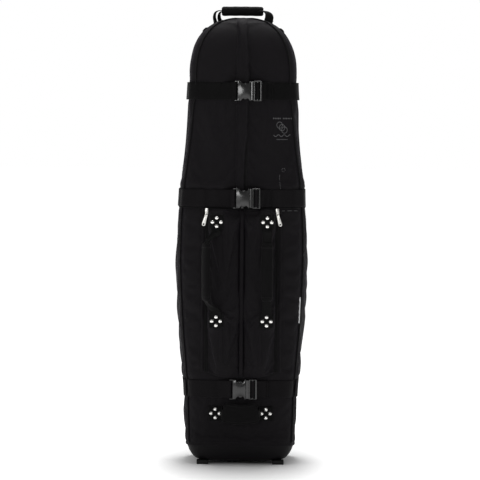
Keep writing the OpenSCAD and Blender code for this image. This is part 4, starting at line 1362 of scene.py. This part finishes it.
def make_strap(key):
    """One compression strap: its two front halves, what passes behind the case, and its buckle."""
    z, place, slack = STRAPS[key], buckle_frame(key), SLACK[key]
    is_low = key == "low"
    # The top strap's webbing is darker; the mid and low straps take the lighter copy.
    tone = "webbing" if key == "top" else "lighter_webbing"

    def front(obj, name):
        if is_low:
            piece(obj, "case", "webbing", ["low_strap"], tone)
        else:
            flap_piece(obj, SIDES[name], "webbing", [f"flap_{name}_straps"], tone)

    split = plane_bearing(z, -88 if is_low else HOOD_PLANE - 0.4)
    middle, across = strap_line(z, -split, split, 1.3, slack)
    left, right = middle[:, 0] < -64 * MM, middle[:, 0] > 50 * MM
    # The left half runs to the female buckle's rod, round it and back over itself.
    skin = 4.1 if is_low else 12.4
    far = -62 - BUCKLE_X[key]
    bends = np.radians((115, 90, 60, 30, 0, -30, -60, -90, -115))
    ramp = [(far, skin), (far + 5, skin - 1.2), (-44, 0.45 * skin - 4.4), (-35, -8.6),
            *((ROD_X + 3.15 * math.cos(a), -8 - 3.15 * math.sin(a)) for a in bends),
            (-36, -3.2), (-44, 0.45 * skin - 1.9), (-49, 0.7 * skin - 0.6)]
    path = curve(place([(x, y, 0) for x, y in ramp]), 1.5 * MM)
    line, sides = even(middle[left], across[left])
    line = np.vstack([line, path])
    sides = np.vstack([sides, np.tile(upright(place), (len(path), 1))])
    if key == "mid":
        run = run_of(line) / MM
        reach = np.argmax(line[:, 0] > -46 * MM)
        fade = np.clip(np.minimum(run / 20, (run[reach] - run) / 40), 0, 1)
        away = unit(np.cross(tangents(line), sides))
        rumple = fade * (1.6 + 1.5 * np.sin(run / 9) + 1.1 * np.sin(run / 5.2 + 1))
        line = line + away * rumple[:, None] * MM
        sides = unit(sides + tangents(line) * (0.28 * fade * np.sin(run / 13 + 0.5))[:, None])
    front(sweep(f"{key}_strap_left", line, sides, strip_outline(WEBBING * MM, 1.8 * MM, 10)), "left")
    front(strap(f"{key}_strap_right", middle[right], across[right], 2.4 if key == "mid" else 0.3), "right")
    start = plane_bearing(z, -82 if is_low else HOOD_PLANE)
    # The low strap runs over the kick plate behind, and close to the walls beside it.
    middle, across = strap_line(z, start, 360 - start, *((4.4, -2.8) if is_low else (1.3, slack)))
    piece(strap(f"{key}_strap_back", middle, across), "case", "webbing", ["back_straps"], tone)
    make_buckle(key, place, "case" if is_low else "flap_left", tone)


def hull(points):
    """The convex outline of a set of points, counter-clockwise."""
    points = sorted(set(points))

    def half(run):
        chain = []
        for p in run:
            while len(chain) > 1 and ((chain[-1][0] - chain[-2][0]) * (p[1] - chain[-2][1])
                                      - (chain[-1][1] - chain[-2][1]) * (p[0] - chain[-2][0])) <= 0:
                chain.pop()
            chain.append(p)
        return chain[:-1]

    return half(points) + half(points[::-1])


def waist(x):
    """Half the female buckle's height at x: notches let the prongs show."""
    inside = 14 ** 2 - (x - 1) ** 2
    return min(28, 33 - math.sqrt(inside)) if inside > 0 else 28


def make_buckle(key, place, body, tone):
    """A side-release buckle: a hollow female half, and a male half with a ladder bar and two prongs."""
    def block(name, x0, x1, z0, z1, radius, low, high, bevel, holes=()):
        outer = rounded_box(x0, x1, *sorted((z0, z1)), radius)
        return outline_plate(name, outer, holes, low, high, bevel, place)

    xs = np.linspace(-21, 16, 38)
    shell = [[(x, -14.6 + 2.4 * abs(v) ** 3 + 1.5 * ((x + 2.5) / 18.5) ** 2, v * waist(x)) for x in xs]
             for v in np.linspace(-1, 1, 21)]
    face = grid_object("shell", place(shell), np.zeros((21, 38, 2)))
    modify(face, "SOLIDIFY", thickness=2.4 * MM, offset=-1)
    modify(face, "BEVEL", width=0.7 * MM, segments=2, limit_method="ANGLE", angle_limit=math.radians(50))
    apply_modifiers(face)
    outline = [(x, waist(x)) for x in xs[::-1]] + [(x, -waist(x)) for x in xs]
    parts = [face, outline_plate("back", outline, [], -3.2, 0, 0.6, place),
             block("wall", -21, -15, -28, 28, 1.2, -12.2, -0.8, 0.5)]
    for end in (-1, 1):
        parts.append(block("rail", -20, -11.5, 24 * end, 27.9 * end, 0.8, -11.8, -1, 0.4))
        parts.append(block("rail", 13.2, 16, 24 * end, 27.9 * end, 0.8, -11.8, -1, 0.4))
        parts.append(block("arm", -30.2, -18, 25.9 * end, 28.4 * end, 1, -11.4, -4.6, 0.6))
    rod = place([(ROD_X, -8, h) for h in np.linspace(-26.6, 26.6, 8)])
    parts.append(cord("rod", rod, 2.2 * MM, (1, 0, 0)))
    piece(joined(f"{key}_buckle_socket", parts), body, "buckle_plastic", [f"{key}_buckle_female"])

    slots = [rounded_box(x, x + 4.5, -25.8, 25.8, 0.9) for x in (29, 38.5)]
    parts = [block("frame", 24.4, 48, -29, 29, 3, -10.2, -4, 1.3, slots),
             block("block", 16.7, 25.4, -27, 27, 1.6, -13.2, -1, 1.2),
             block("tongue", -9, 18, -5, 5, 2, -8.6, -5.4, 0.7)]
    piece(joined(f"{key}_buckle_ladder", parts), f"{key}_male", "buckle_plastic", [f"{key}_buckle_male"])
    discs = ((13.6, 16, 2.4), (1, 17.8, 5.8), (-8, 16.5, 2.8))
    for word, end in (("upper", 1), ("lower", -1)):
        rim = hull([(round(x + r * math.cos(a), 3), round(end * z + r * math.sin(a), 3))
                    for x, z, r in discs for a in np.linspace(0, 2 * math.pi, 28, endpoint=False)])
        prong = outline_plate(f"{key}_prong_{word}_arm", rim, [], -9.4, -4.7, 1.1, place)
        piece(prong, f"{key}_prong_{word}", "buckle_plastic", [f"{key}_prong_{word}"])

    # The webbing's free end comes round the ladder bar and lies back over the strap.
    ground = 1.0 if key == "low" else 9.6
    loop = [(79, ground - 0.4), (66, ground - 1.2), (54, -1.6), (44.5, -2.4), (41.6, -4.5), (40.6, -8.6),
            (38.6, -11.0), (36, -11.4), (33.4, -11.0), (31.6, -8.6), (31, -4.6), (33.5, -1.6), (40, -0.4),
            (52, 0.8), (64, ground + 0.9), (74, ground + 1.5)]
    path = curve(place([(x, y, 0) for x, y in loop]), 1.5 * MM)
    slant = np.clip((np.linalg.norm(path - path[len(path) // 2], axis=1) / MM - 14) / 40, 0, 1)
    across = unit(upright(place) + np.array([TAIL_TILT[key], 0, 0]) * slant[:, None])
    tail = sweep(f"{key}_strap_tail", path, across, strip_outline(48.5 * MM, 1.6 * MM, 10))
    hem = cord("hem", place([(77.5, ground - 1.6, h) for h in np.linspace(-24, 24, 8)]), 1.7 * MM, (1, 0, 0))
    piece(joined(f"{key}_strap_end", [tail, hem]), f"{key}_male", "webbing", [f"{key}_buckle_male"], tone)


# ---------------------------------------------------------------- base and wheels

def make_base():
    """The boot and what is fixed to it, and the kick plate's ribs and screws."""
    for node, name, width, slot in (("base_boot", "boot_shell", 0.8, "boot_plastic"),
                                    ("front_feet", "foot_blocks", 2.5, "feet_rubber"),
                                    ("wheel_housings", "wheel_forks", 2, "boot_plastic"),
                                    ("axle_bolts", "axle_pins", 0.6, "steel"),
                                    ("stiffeners", "inner_boards", 0.6, "stiffener_board"),
                                    ("kick_plate", "kick_board", 0.9, "boot_plastic")):
        cad_piece(node, name, width, "case", slot)
    ribs = []
    for x in np.linspace(-120, 120, 7):
        line = np.array([(x, BACKS[0] + 3.4, z) for z in np.linspace(98, 236, 16)]) * MM
        ribs.append(sweep("rib", line, (1, 0, 0), round_outline(7 * MM, 3 * MM, 2.2, 14)))
    piece(joined("kick_ribs", ribs), "case", "boot_plastic")
    screws = Bits()
    head = ((4.2, 0), (4.2, 0.5), (3.4, 1.1), (1.4, 1.4), (0.1, 1.4))
    for x in (-132, -44, 44, 132):
        for z in (92, 242):
            screws.lathe(head, (x * MM, (BACKS[0] + 2.9) * MM, z * MM), (0, 1, 0), 20)
    piece(mark_sharp(screws.object("kick_screws"), 50), "case", "steel")


def make_wheel(name, side):
    """A wheel in its housing: a grooved tyre, and a hub with six bosses a side on its bearings."""
    body = f"wheel_{name}"
    centre = np.array(WHEEL_CENTRE) * (side, 1, 1) * MM
    half = [(17.2, -11.6), (20, -12), (25.5, -12), (28.2, -11.2), (30.4, -9.4), (31.6, -7.2), (32, -5.6),
            (31.2, -5.2), (31.2, -4.4), (32, -4.0), (32, -0.9), (31.2, -0.5)]
    tyre = Bits()
    tyre.lathe([*half, *((r, -h) for r, h in half[::-1]), half[0]], centre, (1, 0, 0), 72, caps=False)
    piece(mark_sharp(tyre.object(f"wheel_tread_{name}"), 35), body, "tyre_rubber", [f"wheel_tyre_{name}"])
    cad_piece(f"wheel_hub_{name}", f"wheel_core_{name}", 0.7, body, "hub_plastic")
    bosses = Bits()
    for face in (-1, 1):
        for k in range(6):
            a = math.radians(60 * k)
            foot = centre + np.array([face * 10.6, 14 * math.cos(a), 14 * math.sin(a)]) * MM
            bosses.lathe([(1.5, 0), (1.5, 0.7), (1.1, 1.1), (0.1, 1.1)], foot, (face, 0, 0), 14)
    piece(bosses.object(f"wheel_bosses_{name}"), body, "hub_plastic")
    cad_piece(f"wheel_bearings_{name}", f"bearing_rings_{name}", 0.4, body, "steel")


def stitch_row(bits, points, length, width, skip=()):
    """Short raised stitches laid across a line of points on the front face."""
    for k, (x, z) in enumerate(points):
        if k not in skip:
            place, out = on_front(x, z, 0.3)
            bits.bead(place, unit(np.cross(out, (1.0, 0, 0))), out, length * MM, width * MM, 1.0 * MM)


def make_mark():
    """Plain embroidery of blocks, rings and a wave on the right, and a pale tab in the seam."""
    rings = []
    for x, z in ((105, 973), (112, 966), (119, 959)):
        ring = np.array([on_front(x + 8 * math.cos(a), z + 9 * math.sin(a), 0.5)[0]
                         for a in np.linspace(0, 2 * math.pi, 28)])
        rings.append(cord("ring", ring, 0.75 * MM, (0, 1, 0)))
    wave = [on_front(x, 943 + 2.6 * math.sin(x / 2.6), 0.5)[0] for x in np.linspace(88, 136, 60)]
    rings.append(cord("wave", np.array(wave), 0.8 * MM, (0, 1, 0)))
    blocks = Bits()
    stitch_row(blocks, [(x, 992) for x in np.arange(88, 140, 4.6)], 5.0, 2.6, (5,))
    stitch_row(blocks, [(x, 932) for x in np.arange(98, 128, 3.2)], 3.0, 2.0)
    curl = [(117 + 4.5 * math.cos(a), 845 + 5 * math.sin(a)) for a in np.arange(0, 6, 1.0)]
    stitch_row(blocks, curl, 2.2, 2.2)
    trail = [(106 + 0.055 * t * t, 830 - 5.2 * t) for t in np.arange(0, 8, 0.8)]
    stitch_row(blocks, trail, 2.6, 1.6, (4,))
    device = joined("hood_embroidery", [*rings, blocks.object("blocks")])
    piece(device, "flap_right", "body_fabric", material="pale_thread")
    row = Bits()
    stitch_row(row, [(x, 729) for x in np.arange(101, 160, 3.7)], 1.8, 3.0, (2, 6, 7, 12))
    sewn(row, "wall_embroidery", "case", material="pale_thread")
    line = np.array([on_front(165 + 2.5 * t, 407 + 74 * t, 0.4)[0] for t in np.linspace(0, 1, 20)])
    tab = sweep("seam_tab", line, (1, 0, 0), strip_outline(4.5 * MM, 1.4 * MM))
    piece(tab, "case", "body_fabric", material="label")


make_seams()
make_main_zip()
make_pocket_zips()
make_sliders()
for NAME, SIDE in SIDES.items():
    make_pocket(NAME, SIDE)
    make_carry_handle(NAME, SIDE)
    make_wheel(NAME, SIDE)
make_pocket_spine()
make_bottom_handle()
make_top_handle()
for KEY in STRAPS:
    make_strap(KEY)
make_base()
make_mark()


# ---------------------------------------------------------------- stage

def area_light(name, place, aim, size, watts):
    light = bpy.data.lights.new(name, "AREA")
    light.shape = "RECTANGLE"
    light.size, light.size_y = size
    light.energy = watts
    lamp = linked(name, light)
    lamp.location = place
    lamp.rotation_euler = (Vector(aim) - Vector(place)).to_track_quat("-Z", "Y").to_euler()


def make_stage():
    """A floor that glows white far off, a white backdrop, and soft lights over and before the case. The
    floor's glow, a painted light, fades out in an oval round the case, so the shade there is partly real
    shadow and partly painted.
    """
    floor = new_object("floor", [(-40, -40, 0), (40, -40, 0), (40, 40, 0), (-40, 40, 0)], [(0, 1, 2, 3)])
    s = Shader("glowing_floor", (0.9, 0.9, 0.9), 0.9, Specular_IOR_Level=0.0, Emission_Color=(1.0, 1.0, 1.0))
    oval = s.node("ShaderNodeMapping", Vector=s.place(), Scale=(3.3, 1.35, 1.0)).outputs[0]
    away = s.node("ShaderNodeVectorMath", operation="LENGTH")
    s.feed(away.inputs[0], oval)
    away = away.outputs["Value"]
    # Painted light: the glow is nothing in an oval round the case and rises to full strength far off, which
    # paints a pool of shade by the case.
    glow = s.math("ADD", s.ranged(away, 0.0, 0.5, 0.3, 0.95), s.ranged(away, 0.0, 0.3, 1.0, 2.6))
    s.tree.links.new(glow, s.surface.inputs["Emission Strength"])
    floor.data.materials.append(s.material)
    world = bpy.data.worlds.new("studio")
    scene.world = world
    world.use_nodes = True
    tree = world.node_tree
    room = tree.nodes["Background"]
    room.inputs["Color"].default_value = (1, 1, 1, 1)
    room.inputs["Strength"].default_value = 0.26
    backdrop = tree.nodes.new("ShaderNodeBackground")
    backdrop.inputs["Color"].default_value = (1, 1, 1, 1)
    mix = tree.nodes.new("ShaderNodeMixShader")
    seen = tree.nodes.new("ShaderNodeLightPath")
    tree.links.new(seen.outputs["Is Camera Ray"], mix.inputs[0])
    tree.links.new(room.outputs[0], mix.inputs[1])
    tree.links.new(backdrop.outputs[0], mix.inputs[2])
    tree.links.new(mix.outputs[0], tree.nodes["World Output"].inputs["Surface"])
    area_light("overhead", (0, 0.58, 3.4), (0, 0.3, 0), (0.7, 2.6), 84)
    area_light("key", (-1.05, -4.9, 1.65), (0, 0, 0.9), (1.3, 0.8), 32)
    area_light("side", (-2.6, -1.6, 1.3), (0, 0, 0.7), (0.5, 2.2), 3)


def make_camera():
    """A long lens level with the case's middle and a little above it."""
    distance, elevation, roll, frame_height = 9.0, math.radians(2.5), math.radians(0.45), 1.368
    target = Vector((-0.0053, -0.12, 0.645))
    data = bpy.data.cameras.new("camera")
    data.sensor_width = 36
    data.lens = 36 * distance / frame_height
    camera = linked("camera", data)
    camera.location = target + Vector((0, -math.cos(elevation), math.sin(elevation))) * distance
    facing = (target - camera.location).to_track_quat("-Z", "Y")
    camera.rotation_euler = (facing @ Quaternion((0, 0, 1), roll)).to_euler()
    scene.camera = camera
    scene.view_settings.view_transform = "Standard"


make_stage()
make_camera()
